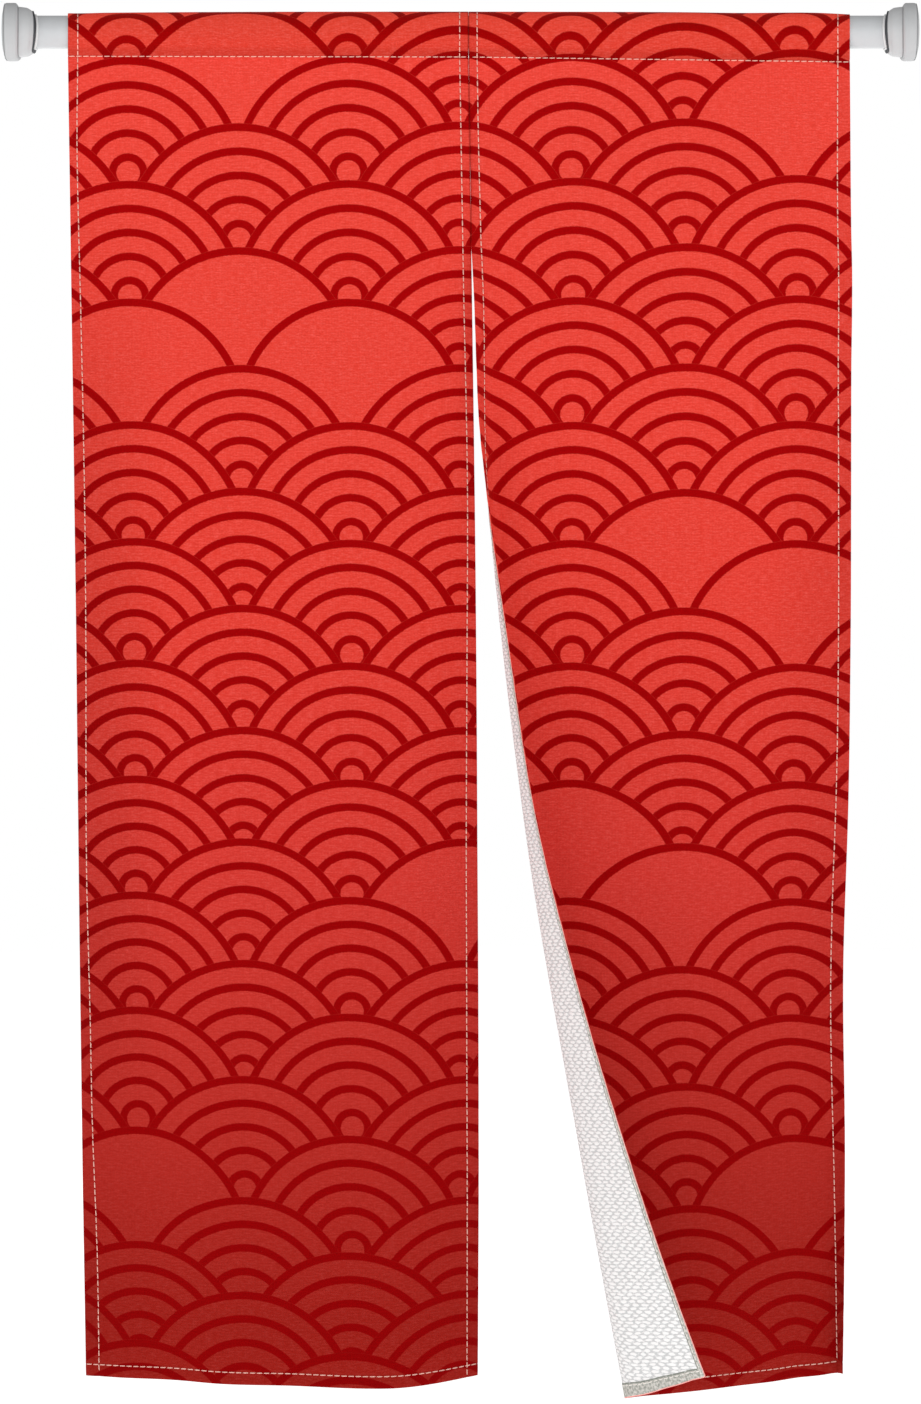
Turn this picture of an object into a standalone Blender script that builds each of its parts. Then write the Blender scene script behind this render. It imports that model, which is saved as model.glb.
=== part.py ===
"""Noren: a split doorway curtain of two hemmed cloth panels, hanging from a tension rod.

Metres, +Z up, seen from -Y. The origin is the middle of the left foot's flat outer face, and the rod's
axis lies along +X. Each panel is one strip of cloth: it starts behind the sleeve stitching, runs up and
over the rod, and hangs down in front to its bottom hem. The right panel's slit edge curls forward.
"""

from collections import namedtuple
from math import acos, atan2, cos, pi, radians, sin, sqrt

import bpy

# ---------------------------------------------------------------- rod and its ends
ROD_SPAN = 0.995  # over both feet
ROD_RADIUS = 0.0173
GAP = 0.0003  # between pieces that sit on or in each other
SEAT_RADIUS = ROD_RADIUS + GAP  # bore of the pieces that sit round the rod
ROUND_STEPS = 36

FOOT_FACE = 0.015  # radius of the flat that presses on the wall
FOOT_RADIUS = 0.0313
FOOT_LENGTH = 0.017
FOOT_DOME = 0.0045  # how far the face stands proud of the rim
CAP_RADIUS = 0.0266
CAP_LENGTH = 0.0147
CAP_SHOULDER = 0.0036
RING_RADIUS = 0.0224
RING_LENGTH = 0.003
COLLAR_RADIUS = 0.0188
COLLAR_LENGTH = 0.0024
EDGE_ROUND = 0.0016
RING_ROUND = 0.0003
SHARP_ANGLE = radians(40)  # edges of the rod that stay crisp
MERGE_DISTANCE = 0.00001

# ---------------------------------------------------------------- cloth
CLOTH_THICK = 0.001
HEM_THICK = 0.002  # two layers
HEM_STEP = 0.001  # width over which a hem thins to one layer
SIDE_HEM = 0.010
BOTTOM_HEM = 0.0125
ROD_MIDDLE = ROD_SPAN / 2
STITCH_DEPTH = 0.027  # of the sleeve stitching below the rod's axis, at the middle of the curtain
HANG_LENGTH = 1.436  # from there to the bottom edge
SLEEVE_RADIUS = 0.0199  # outside of the sleeve round the rod
SLEEVE_TUCK = 0.009  # cloth below the sleeve stitching, behind
SLEEVE_TURNS = 14  # steps round the rod
TAKE_UP_REACH = 0.100  # how far in from a side its tight hem shortens the cloth
TILT_RAMP = 0.060  # distance from the outer edge over which the tilt sets in
BACK_REACH = 0.022  # width of the outer edge that turns back
FALL_POWER = 0.7  # below 1, the fall from the crest to the slit starts steeply

# Cross-sections of a panel. "below" is measured down from the sleeve stitching and "outer_x" out from the
# rod's middle. Angles are in degrees from the plane of the rod, positive towards the viewer: "rise" and
# "fall" on either side of the crest, "back" at the outer edge, "tilt" over the whole width, and "turn" at
# the slit edge, which holds for the "flap" and dies away over the rest of "reach".
Section = namedtuple("Section", "below outer_x rise fall back tilt turn flap reach")
LEFT_SECTIONS = (
    Section(0.000, 0.4260, 0, 0, 0, 0, 0, 0.010, 0.024),
    Section(0.204, 0.4244, 0, 0, 0, 0, 0, 0.010, 0.026),
    Section(0.600, 0.4185, 3, 6, 0, 0, 0, 0.010, 0.026),
    Section(0.900, 0.4150, 6, 11, 0, 0, 0, 0.010, 0.026),
    Section(1.200, 0.4110, 10, 19, 0, 0, 0, 0.010, 0.026),
    Section(1.436, 0.4065, 14, 31, 0, 0, 0, 0.010, 0.026),
)
RIGHT_SECTIONS = (
    Section(0.000, 0.4240, 0, 0, 0, 0, 0, 0.010, 0.024),
    Section(0.204, 0.4242, 7, 6, 0, 0, 0, 0.012, 0.030),
    Section(0.270, 0.4250, 8, 7, 0, 0, 16, 0.012, 0.032),
    Section(0.330, 0.4246, 7, 6, 0, 0, 50, 0.012, 0.034),
    Section(0.480, 0.4240, 2, 2, 0, 1, 86, 0.009, 0.037),
    Section(0.615, 0.4235, 0, 0, 0, 3, 102, 0.013, 0.054),
    Section(0.810, 0.4210, 0, 0, 0, 6, 101, 0.022, 0.093),
    Section(1.000, 0.4160, 0, 0, 0, 10, 103, 0.041, 0.127),
    Section(1.200, 0.4165, 0, 0, 4, 15, 106, 0.063, 0.160),
    Section(1.436, 0.4145, 0, 0, 55, 22, 112, 0.094, 0.186),
)

# A panel's own sizes. "side" is -1 left of the slit and +1 right of it, "crest" is the fraction of the
# width where rise turns to fall, the take-ups are the lengths that the side hems draw in, "stitch" is the
# sleeve stitching's depth at the outer edge and at the slit, and "puffs" says how far the sleeve's top
# stands off the rod along it, from 0 at the outer edge to 1 at the slit.
Panel = namedtuple("Panel", "name side width sections crest outer_hem outer_take_up slit_take_up stitch puffs")
LEFT_PANEL = Panel(
    "left_panel", -1, 0.4352, LEFT_SECTIONS, 0.74, 0.0105, 0.003, 0.004,
    (0.0262, STITCH_DEPTH), ((0.0, 0.0), (0.14, 0.0006), (0.5, 0.0014), (1.0, 0.0016)),
)
RIGHT_PANEL = Panel(
    "right_panel", 1, 0.4142, RIGHT_SECTIONS, 0.50, 0.0130, 0.007, 0.014,
    (0.0324, STITCH_DEPTH), ((0.0, 0.0), (0.12, 0.0006), (0.28, 0.0002), (0.45, 0.0010), (1.0, 0.0016)),
)

LEFT_COLUMNS = 13  # even columns between the hems
LEFT_ROWS = 26
RIGHT_FLAT_COLUMNS = 6
RIGHT_CURL_COLUMNS = 12
RIGHT_CURL_WIDTH = 0.210
RIGHT_ROWS = 34

# ---------------------------------------------------------------- finishes: name, colour and roughness
PRINTED_CLOTH = ("printed_cloth", (0.80, 0.065, 0.045), 0.85)
ROD_COAT = ("rod_coat", (0.66, 0.67, 0.68), 0.35)
FOOT_RUBBER = ("foot_rubber", (0.58, 0.59, 0.59), 0.6)
CAP_PLASTIC = ("cap_plastic", (0.60, 0.61, 0.61), 0.45)
RING_RUBBER = ("ring_rubber", (0.06, 0.06, 0.065), 0.5)
COLLAR_PLASTIC = ("collar_plastic", (0.80, 0.80, 0.80), 0.4)

PARTS_COLLECTION = "noren_curtain"


# ---------------------------------------------------------------- helpers
def clear_scene():
    for item in list(bpy.data.objects):
        bpy.data.objects.remove(item, do_unlink=True)


def make_collection(name):
    group = bpy.data.collections.new(name)
    bpy.context.scene.collection.children.link(group)
    return group


def make_material(part, name, colour, roughness):
    """A finish for one part; each part has its own."""
    material = bpy.data.materials.new(f"{part}_{name}")
    material.use_nodes = True
    shader = material.node_tree.nodes["Principled BSDF"]
    shader.inputs["Base Color"].default_value = (*colour, 1.0)
    shader.inputs["Roughness"].default_value = roughness
    shader.inputs["Metallic"].default_value = 0.0
    return material


def make_object(name, points, edges, faces, finish, group):
    mesh = bpy.data.meshes.new(name)
    mesh.from_pydata(points, edges, faces)
    mesh.materials.append(make_material(name, *finish))
    mesh.shade_smooth()
    item = bpy.data.objects.new(name, mesh)
    group.objects.link(item)
    return item


def smooth_step(t):
    t = min(max(t, 0.0), 1.0)
    return t * t * (3 - 2 * t)


def smooth_curve(stops, at):
    """Value at one place on a smooth curve through (place, value) stops."""
    if at <= stops[0][0]:
        return stops[0][1]
    if at >= stops[-1][0]:
        return stops[-1][1]
    steepness = [(b[1] - a[1]) / (b[0] - a[0]) for a, b in zip(stops, stops[1:])]
    i = max(k for k in range(len(steepness)) if stops[k][0] <= at)
    start_slope = (steepness[max(i - 1, 0)] + steepness[i]) / 2
    end_slope = (steepness[i] + steepness[min(i + 1, len(steepness) - 1)]) / 2
    step = stops[i + 1][0] - stops[i][0]
    t = (at - stops[i][0]) / step
    start = (1 + 2 * t) * (1 - t) ** 2 * stops[i][1] + t * (1 - t) ** 2 * step * start_slope
    end = t * t * (3 - 2 * t) * stops[i + 1][1] + t * t * (t - 1) * step * end_slope
    return start + end


def section_at(sections, below):
    """The cross-section's values at one level, read smoothly between the table's rows."""
    columns = zip(*sections)
    levels = next(columns)
    return Section(below, *(smooth_curve(list(zip(levels, column)), below) for column in columns))


# ---------------------------------------------------------------- cloth
def direction(panel, section, along):
    """Angle of the cloth at a distance from its outer edge, in radians."""
    t = along / panel.width
    if t < panel.crest:
        angle = section.rise * (1 - t / panel.crest)
    else:
        angle = -section.fall * ((t - panel.crest) / (1 - panel.crest)) ** FALL_POWER
    from_slit = panel.width - along
    angle += section.tilt * smooth_step(along / TILT_RAMP)
    angle -= section.back * (1 - smooth_step(along / BACK_REACH))
    angle += section.turn * (1 - smooth_step((from_slit - section.flap) / (section.reach - section.flap)))
    return radians(angle)


def take_up(panel, along):
    """Length that the side hems draw in from a thread at a distance from the outer edge."""
    outer = panel.outer_take_up * (1 - smooth_step(along / TAKE_UP_REACH))
    slit = panel.slit_take_up * (1 - smooth_step((panel.width - along) / TAKE_UP_REACH))
    return outer + slit


def stitch_depth(panel, along):
    """How far the sleeve stitching lies below the rod's axis."""
    at_outer, at_slit = panel.stitch
    return at_outer + (at_slit - at_outer) * along / panel.width


def hanging_rows(panel, columns, rows):
    """Front face below the sleeve, row by row: each thread keeps its length, across and down."""
    heights = [-stitch_depth(panel, along) for along in columns]
    grid = []
    for index, below in enumerate(rows):
        section = section_at(panel.sections, below)
        x, y = ROD_MIDDLE + panel.side * section.outer_x, 0.0
        row = [[x, y, heights[0]]]
        for k in range(1, len(columns)):
            width = columns[k] - columns[k - 1]
            run = sqrt(width ** 2 - (heights[k] - heights[k - 1]) ** 2)
            angle = direction(panel, section, (columns[k] + columns[k - 1]) / 2)
            x -= panel.side * run * cos(angle)
            y -= run * sin(angle)
            row.append([x, y, heights[k]])
        if index:
            step = below - rows[index - 1]
            for k, along in enumerate(columns):
                longer = STITCH_DEPTH - stitch_depth(panel, along) - take_up(panel, along)
                thread = step * (1 + longer / HANG_LENGTH)
                sideways = (row[k][0] - grid[-1][k][0]) ** 2 + (row[k][1] - grid[-1][k][1]) ** 2
                row[k][2] = grid[-1][k][2] - sqrt(thread ** 2 - sideways)
            heights = [point[2] for point in row]
        grid.append(row)
    return grid


def sleeve_profile(depth, puff):
    """Outer face of the sleeve as (y, z), from the tucked end behind to just above the front stitching."""
    behind = 2 * HEM_THICK + GAP  # from the front cloth's face to the outer face of the tucked end
    radius = SLEEVE_RADIUS + puff / 2
    lift = puff / 2
    profile = [(behind, -depth - SLEEVE_TUCK), (behind, -depth)]
    tangents = []
    for y in (behind, 0.0):
        reach = sqrt(y ** 2 + (depth + lift) ** 2)
        spread = acos(radius / reach)
        downward = atan2(-(depth + lift), y)
        tangents.append(downward + spread if y else downward - spread + 2 * pi)
    start, end = tangents
    for k in range(SLEEVE_TURNS + 1):
        angle = start + (end - start) * k / SLEEVE_TURNS
        profile.append((radius * cos(angle), lift + radius * sin(angle)))
    return profile


def sleeve_rows(panel, columns, first_row):
    """Rows of the sleeve, in order from the tucked end to the row above the stitching."""
    profiles = []
    for along in columns:
        puff = smooth_curve(panel.puffs, along / panel.width)
        profiles.append(sleeve_profile(stitch_depth(panel, along), puff))
    rows = []
    for k in range(len(profiles[0])):
        rows.append([(point[0], *profile[k]) for point, profile in zip(first_row, profiles)])
    return rows


def hemmed(start, end, count, first_hem, last_hem):
    """Even stations between two hems, with a station on both sides of each hem's step."""
    inner_start = start + first_hem + (HEM_STEP if first_hem else 0.0)
    inner_end = end - last_hem - (HEM_STEP if last_hem else 0.0)
    stations = [inner_start + (inner_end - inner_start) * k / (count - 1) for k in range(count)]
    if first_hem:
        stations = [start, start + first_hem] + stations
    if last_hem:
        stations = stations + [end - last_hem, end]
    return stations


def panel_columns(panel):
    """Distances from the outer edge, closer together where the cloth curls."""
    if panel.side < 0:
        return hemmed(0.0, panel.width, LEFT_COLUMNS, panel.outer_hem, SIDE_HEM)
    curl_start = panel.width - RIGHT_CURL_WIDTH
    flat = hemmed(0.0, curl_start, RIGHT_FLAT_COLUMNS, panel.outer_hem, 0.0)
    return flat[:-1] + hemmed(curl_start, panel.width, RIGHT_CURL_COLUMNS, 0.0, SIDE_HEM)


def make_panel(panel, row_count, finish, group):
    columns = panel_columns(panel)
    rows = hemmed(0.0, HANG_LENGTH, row_count, 0.0, BOTTOM_HEM)
    hanging = hanging_rows(panel, columns, rows)
    sleeve = sleeve_rows(panel, columns, hanging[0])
    grid = sleeve + hanging
    hem_first_row = len(grid) - 2
    in_hem = []
    for r in range(len(grid)):
        for along in columns:
            at_side = along <= panel.outer_hem or along >= panel.width - SIDE_HEM
            in_hem.append(at_side or r >= hem_first_row)
    across = len(columns)
    faces = []
    for r in range(len(grid) - 1):
        for c in range(across - 1):
            corner = r * across + c
            face = (corner, corner + 1, corner + across + 1, corner + across)
            faces.append(face if panel.side > 0 else face[::-1])
    points = [point for row in grid for point in row]
    item = make_object(panel.name, points, [], faces, finish, group)
    hem = item.vertex_groups.new(name="hem")
    hem.add([k for k, thick in enumerate(in_hem) if thick], 1.0, "REPLACE")
    solidify = item.modifiers.new("thickness", "SOLIDIFY")
    solidify.thickness = HEM_THICK
    solidify.offset = -1.0
    solidify.vertex_group = hem.name
    solidify.thickness_vertex_group = CLOTH_THICK / HEM_THICK
    solidify.use_even_offset = True
    return item


# ---------------------------------------------------------------- rod and its ends
def turned(name, profile, closed, finish, group, start, side):
    """Turns a profile of (radius, distance in from the wall) about the rod's axis, at one end of the rod."""
    points = [(radius, 0.0, along) for radius, along in profile]
    edges = [(k, k + 1) for k in range(len(points) - 1)]
    if closed:
        edges.append((len(points) - 1, 0))
    item = make_object(name, points, edges, [], finish, group)
    screw = item.modifiers.new("turn", "SCREW")
    screw.steps = ROUND_STEPS
    screw.render_steps = ROUND_STEPS
    screw.use_merge_vertices = True
    screw.merge_threshold = MERGE_DISTANCE
    if side < 0:
        item.location.x = start
    else:
        item.location.x = ROD_SPAN - start
    item.rotation_euler.y = -side * pi / 2
    return item


def foot_profile():
    rim = FOOT_RADIUS
    return [
        (0.0, FOOT_LENGTH),
        (rim - 2 * EDGE_ROUND, FOOT_LENGTH),
        (rim - EDGE_ROUND, FOOT_LENGTH - EDGE_ROUND),
        (rim, FOOT_DOME + EDGE_ROUND),
        (rim - EDGE_ROUND, FOOT_DOME),
        ((rim + FOOT_FACE) / 2, FOOT_DOME / 4),
        (FOOT_FACE, 0.0),
        (0.0, 0.0),
    ]


def cap_profile():
    return [
        (SEAT_RADIUS, CAP_LENGTH),
        (RING_RADIUS, CAP_LENGTH),
        (CAP_RADIUS - 2 * EDGE_ROUND, CAP_LENGTH - CAP_SHOULDER / 3),
        (CAP_RADIUS - EDGE_ROUND / 2, CAP_LENGTH - CAP_SHOULDER),
        (CAP_RADIUS, 0.0),
        (SEAT_RADIUS, 0.0),
    ]


def ring_profile(radius, length):
    return [
        (SEAT_RADIUS, length),
        (radius - RING_ROUND, length),
        (radius, length / 2),
        (radius - RING_ROUND, 0.0),
        (SEAT_RADIUS, 0.0),
    ]


def make_rod_end(side, group):
    word = "left" if side < 0 else "right"
    cap_start = FOOT_LENGTH + GAP
    ring_start = cap_start + CAP_LENGTH + GAP
    collar_start = ring_start + RING_LENGTH + GAP
    ring = ring_profile(RING_RADIUS, RING_LENGTH)
    collar = ring_profile(COLLAR_RADIUS, COLLAR_LENGTH)
    turned(f"{word}_foot", foot_profile(), False, FOOT_RUBBER, group, 0.0, side)
    turned(f"{word}_cap", cap_profile(), True, CAP_PLASTIC, group, cap_start, side)
    turned(f"{word}_ring", ring, True, RING_RUBBER, group, ring_start, side)
    turned(f"{word}_collar", collar, True, COLLAR_PLASTIC, group, collar_start, side)


def make_rod(group):
    length = ROD_SPAN - 2 * (FOOT_LENGTH + GAP)
    bpy.ops.mesh.primitive_cylinder_add(
        vertices=ROUND_STEPS, radius=ROD_RADIUS, depth=length,
        location=(ROD_MIDDLE, 0.0, 0.0), rotation=(0.0, pi / 2, 0.0),
    )
    rod = bpy.context.object
    rod.name = "rod"
    rod.data.name = "rod"
    rod.data.materials.append(make_material(rod.name, *ROD_COAT))
    rod.data.shade_smooth()
    rod.data.set_sharp_from_angle(angle=SHARP_ANGLE)
    for holder in list(rod.users_collection):
        holder.objects.unlink(rod)
    group.objects.link(rod)


def main():
    clear_scene()
    group = make_collection(PARTS_COLLECTION)
    make_rod(group)
    for side in (-1, 1):
        make_rod_end(side, group)
    make_panel(LEFT_PANEL, LEFT_ROWS, PRINTED_CLOTH, group)
    make_panel(RIGHT_PANEL, RIGHT_ROWS, PRINTED_CLOTH, group)


main()
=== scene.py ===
"""A noren: a split doorway curtain of two printed cloth panels, hanging from a tension rod.

Metres, +Z up, seen from -Y. The rod's axis lies along X, and the origin is the middle of the left foot's
outer face. A place on a panel is "along", from its outer edge towards the slit, and "below", down from the
sleeve stitching; on the sleeve "below" is negative.
"""

from collections import namedtuple
from math import acos, atan2, ceil, cos, pi, radians, sin, sqrt

import bmesh
import bpy
import numpy as np
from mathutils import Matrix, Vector


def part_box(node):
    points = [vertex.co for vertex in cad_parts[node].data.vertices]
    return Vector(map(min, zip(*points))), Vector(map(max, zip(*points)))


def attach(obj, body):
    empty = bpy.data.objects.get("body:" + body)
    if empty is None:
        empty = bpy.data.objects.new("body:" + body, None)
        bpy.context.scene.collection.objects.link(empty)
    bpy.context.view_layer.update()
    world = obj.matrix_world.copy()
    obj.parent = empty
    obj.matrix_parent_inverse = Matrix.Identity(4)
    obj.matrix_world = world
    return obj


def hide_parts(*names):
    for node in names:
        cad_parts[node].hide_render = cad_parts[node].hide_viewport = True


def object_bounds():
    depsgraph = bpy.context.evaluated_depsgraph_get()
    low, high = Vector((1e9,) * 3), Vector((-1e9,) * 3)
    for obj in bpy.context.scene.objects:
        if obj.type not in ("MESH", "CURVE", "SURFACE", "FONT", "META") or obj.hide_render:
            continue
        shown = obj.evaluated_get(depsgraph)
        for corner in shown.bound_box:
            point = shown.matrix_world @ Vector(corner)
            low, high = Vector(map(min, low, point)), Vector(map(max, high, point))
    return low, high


bl_info = {
    "name": "Noren on a Tension Rod",
    "version": (1, 0, 0),
    "blender": (4, 5, 0),
    "location": "3D View > Sidebar > Noren",
    "description": "Builds a printed doorway curtain, its stitching, its rod and a plain studio",
    "category": "Add Mesh",
}

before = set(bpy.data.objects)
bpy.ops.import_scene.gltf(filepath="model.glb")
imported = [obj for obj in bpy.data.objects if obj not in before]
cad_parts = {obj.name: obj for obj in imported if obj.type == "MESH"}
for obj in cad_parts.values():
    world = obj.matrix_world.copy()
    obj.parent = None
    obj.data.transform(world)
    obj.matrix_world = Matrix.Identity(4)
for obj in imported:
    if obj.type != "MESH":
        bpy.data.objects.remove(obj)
CAD_LOW, CAD_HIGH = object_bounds()
ROD_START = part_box("rod")[0].x

# ---------------------------------------------------------------- sizes that the frame gives
ROD_SPAN = CAD_HIGH.x - CAD_LOW.x  # over both feet
ROD_MIDDLE = (CAD_LOW.x + CAD_HIGH.x) / 2
GAP = 0.0003  # between pieces that sit on or in each other


def radius_and_length(node):
    """Of a turned node, whose axis lies along X."""
    low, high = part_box(node)
    return (high.z - low.z) / 2, high.x - low.x


ROD_RADIUS, ROD_LENGTH = radius_and_length("rod")
FOOT_RADIUS, FOOT_LENGTH = radius_and_length("left_foot")
CAP_RADIUS, CAP_LENGTH = radius_and_length("left_cap")
RING_RADIUS, RING_LENGTH = radius_and_length("left_ring")
COLLAR_RADIUS, COLLAR_LENGTH = radius_and_length("left_collar")

# ---------------------------------------------------------------- how the cloth is cut and sewn
STITCH_DEPTH = 0.027  # of the sleeve stitching below the rod's axis, at the middle of the curtain
HANG_LENGTH = 1.436  # from there to the bottom edge
LEFT_WIDTH = 0.4352  # of the left panel along its cloth
RIGHT_WIDTH = 0.4142
SEAM_LENGTH = 0.204  # of the sewn centre seam below the sleeve stitching
SLEEVE_RADIUS = 0.0199  # outside of the sleeve round the rod
SLEEVE_TUCK = 0.009  # cloth below the sleeve stitching, behind
SLEEVE_NARROWING = 0.4  # share by which the sleeve is drawn in at its ends, for each metre it stands out
BOTTOM_HEM = 0.0128  # from the bottom edge to its stitching, where the hem is deepest
TAKE_UP_REACH = 0.100  # how far in from a side its tight hem shortens the cloth
TILT_RAMP = 0.060  # distance from the outer edge over which the tilt sets in
BACK_REACH = 0.022  # width of the outer edge that turns back
FALL_POWER = 0.7  # below 1, the fall from the crest to the slit starts steeply
EDGE_INSET = 0.0005  # of the sheet's first and last threads, which leaves room for the rounded edge
GROOVE_REACH = 0.0010  # how far the dent of a stitch line reaches to either side
GROOVE_DEPTH = 0.00028
FOLD_MARGIN = 0.0012  # of the hem's inner fold beyond its stitching
FOLD_STEP = 0.0018  # width over which the hem thins to one layer

# Cross-sections of a panel. "below" is measured down from the sleeve stitching and "outer_x" out from the
# rod's middle. Angles are in degrees from the plane of the rod, positive towards the viewer: "rise" and
# "fall" on either side of the crest, "back" at the outer edge, "tilt" over the whole width, and "turn" at
# the slit edge, which holds for the "flap" and dies away over the rest of "reach".
Section = namedtuple("Section", "below outer_x rise fall back tilt turn flap reach")
LEFT_SECTIONS = (
    Section(0.000, 0.4267, 0, 0, 0, 0, 0, 0.010, 0.024),
    Section(0.204, 0.4237, 0, 0, 0, 0, 0, 0.010, 0.026),
    Section(0.600, 0.4181, 3, 6, 0, 0, 0, 0.010, 0.026),
    Section(0.900, 0.4150, 6, 11, 0, 0, 0, 0.010, 0.026),
    Section(1.200, 0.4110, 10, 19, 0, 0, 0, 0.010, 0.026),
    Section(HANG_LENGTH, 0.4072, 13.2, 29.5, 0, 0, 0, 0.010, 0.026),
)
RIGHT_SECTIONS = (
    Section(0.000, 0.4232, 0, 0, 0, 0, 0, 0.010, 0.024),
    Section(0.190, 0.4249, 6, 5, 0, 0, 0, 0.012, 0.030),
    Section(0.225, 0.4257, 6, 5, 0, 0, 20, 0.012, 0.031),
    Section(0.270, 0.4257, 7, 6, 0, 0, 36, 0.012, 0.032),
    Section(0.330, 0.4250, 7, 6, 0, 0, 49, 0.012, 0.034),
    Section(0.400, 0.4248, 5, 4, 0, 0, 62, 0.011, 0.035),
    Section(0.480, 0.4246, 2, 2, 0, 1, 86, 0.009, 0.037),
    Section(0.615, 0.4242, 0, 0, 0, 3, 102, 0.013, 0.052),
    Section(0.810, 0.4217, 0, 0, 0, 6, 101, 0.022, 0.089),
    Section(1.000, 0.4160, 0, 0, 0, 10, 103, 0.040, 0.129),
    Section(1.200, 0.4178, 0, 0, 24, 15, 106, 0.063, 0.156),
    Section(HANG_LENGTH, 0.4150, 0, 0, 88, 21.2, 112, 0.090, 0.186),
)

# How the print lies on a panel: its own "across" and "down" are each a start, plus a share of the place
# across the cloth from the seam, of both places multiplied, of the place down, and of that squared.
Lay = namedtuple("Lay", "start across both down down_squared")

# A panel's own sizes. "side" is -1 left of the slit and +1 right of it, and "crest" is the fraction of the
# width where rise turns to fall. The hems give a stitch line's distance from its edge: those of the sides
# at levels below the sleeve, the bottom one at places along. The take-ups are the lengths that the side
# hems draw in, and "slack" is the spare length of the threads at places along. "stitch" is the sleeve
# stitching's depth at the outer edge and at the slit, "puffs" says how far the sleeve's top stands off the
# rod along it, from 0 at the outer edge to 1 at the slit, and "curl" is the width that curls forward.
# "shade" is how much painted shade darkens the cloth beside its outer edge, "sleeve_print" is the
# height of the print on the sleeve for each metre of its cloth, and "seam_lift" is how much higher the
# print stands beside the sewn seam.
Panel = namedtuple(
    "Panel",
    "name side width sections crest outer_hem slit_hem bottom_hem outer_take_up slit_take_up slack stitch"
    " puffs curl shade print_across print_down sleeve_print seam_lift",
)
LEFT_PANEL = Panel(
    name="left_panel", side=-1, width=LEFT_WIDTH, sections=LEFT_SECTIONS, crest=0.74,
    outer_hem=(
        (0.0, 0.0106), (0.10, 0.0084), (0.27, 0.0098), (0.50, 0.0111), (0.68, 0.0102), (0.88, 0.0087),
        (1.05, 0.0108), (1.15, 0.0116), (1.30, 0.0152), (HANG_LENGTH, 0.0155),
    ),
    slit_hem=(
        (0.0, 0.0094), (0.25, 0.0088), (0.45, 0.0076), (0.65, 0.0100), (0.85, 0.0122),
        (HANG_LENGTH, 0.0135),
    ),
    bottom_hem=((0.0, BOTTOM_HEM), (LEFT_WIDTH, BOTTOM_HEM)),
    outer_take_up=0.003, slit_take_up=0.004,
    slack=(
        (0.0, 0.0005), (0.03, -0.0004), (0.09, -0.0031), (0.15, -0.0009), (0.23, -0.0009), (0.31, 0.0014),
        (0.39, 0.0011), (LEFT_WIDTH, 0.0),
    ),
    stitch=(0.0262, STITCH_DEPTH), puffs=((0.0, 0.0), (0.14, 0.0006), (0.5, 0.0014), (1.0, 0.0016)),
    curl=0.0, shade=0.21,
    print_across=Lay(0.0006, 1.0036, 0.0260, 0.0091, 0.0004),
    print_down=Lay(-0.0012, 0.0095, -0.0211, 0.9881, 0.0183),
    sleeve_print=0.92, seam_lift=0.0,
)
RIGHT_PANEL = Panel(
    name="right_panel", side=1, width=RIGHT_WIDTH, sections=RIGHT_SECTIONS, crest=0.50,
    outer_hem=(
        (0.0, 0.0130), (0.05, 0.0138), (0.19, 0.0151), (0.27, 0.0150), (0.45, 0.0138), (0.70, 0.0132),
        (0.79, 0.0135), (0.88, 0.0141), (0.97, 0.0137), (1.14, 0.0132), (1.23, 0.0118), (1.32, 0.0107),
        (HANG_LENGTH, 0.0110),
    ),
    slit_hem=(
        (0.0, 0.0090), (0.10, 0.0096), (0.20, 0.0106), (0.36, 0.0114), (0.60, 0.0060), (0.80, 0.0048),
        (HANG_LENGTH, 0.0046),
    ),
    bottom_hem=((0.0, BOTTOM_HEM), (0.28, BOTTOM_HEM), (RIGHT_WIDTH, 0.0072)),
    outer_take_up=0.007, slit_take_up=0.014,
    slack=(
        (0.0, 0.0024), (0.028, 0.0058), (0.065, 0.0029), (0.12, 0.0022), (0.19, 0.0030), (0.25, 0.0024),
        (0.305, -0.0018), (0.345, 0.0010), (0.380, 0.0053), (RIGHT_WIDTH, 0.0036),
    ),
    stitch=(0.0324, STITCH_DEPTH),
    puffs=((0.0, -0.0012), (0.05, 0.0), (0.12, 0.0006), (0.28, 0.0002), (0.45, 0.0010), (1.0, 0.0016)),
    curl=0.210, shade=0.12,
    print_across=Lay(0.0016, 0.9878, 0.0075, -0.0017, -0.0003),
    print_down=Lay(-0.0023, 0.0316, -0.0326, 0.9827, 0.0253),
    sleeve_print=0.965, seam_lift=0.0022,
)
PANELS = (LEFT_PANEL, RIGHT_PANEL)

# ---------------------------------------------------------------- the wave print
PRINT_MIDDLE = -0.0107  # of the print's middle column of waves, from the seam
ODD_DROP = 0.0067  # how much lower the waves of every second column stand
PAIR_DROP = 0.0029  # how much lower every second pair of rows stands
RAISES = ((13, 0.0054), (21, 0.0235))  # rows from which on the waves stand higher, and by how much more
SLEEVE_SWELL = 0.0028  # how much wider the waves are drawn on the sleeve
SEAM_LIFT_REACH = 0.042  # width beside the seam over which the print's lift dies away
SEAM_LIFT_END = 0.12  # place below the sleeve stitching from where it also dies away downwards
SEAM_LIFT_FADE = 0.10  # over this length
RING_COUNT = 5
# Waves printed plain, without inner rings, as (column, row): columns from the middle one, negative to the
# left, and rows of half a wave each, down from the sleeve stitching.
PLAIN_WAVES = (
    (-4, -1), (-2, -1), (3, 0), (-2, 3), (-3, 4), (-1, 4), (2, 7), (3, 8), (1, 12), (2, 13), (0, 13),
    (-3, 18), (3, 18),
)


def linear(red, green, blue):
    """A screen colour of 0 to 255 as the linear colour that Blender keeps."""
    return tuple(
        (part / 255 / 12.92) if part <= 10 else ((part / 255 + 0.055) / 1.055) ** 2.4
        for part in (red, green, blue)
    )


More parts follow.
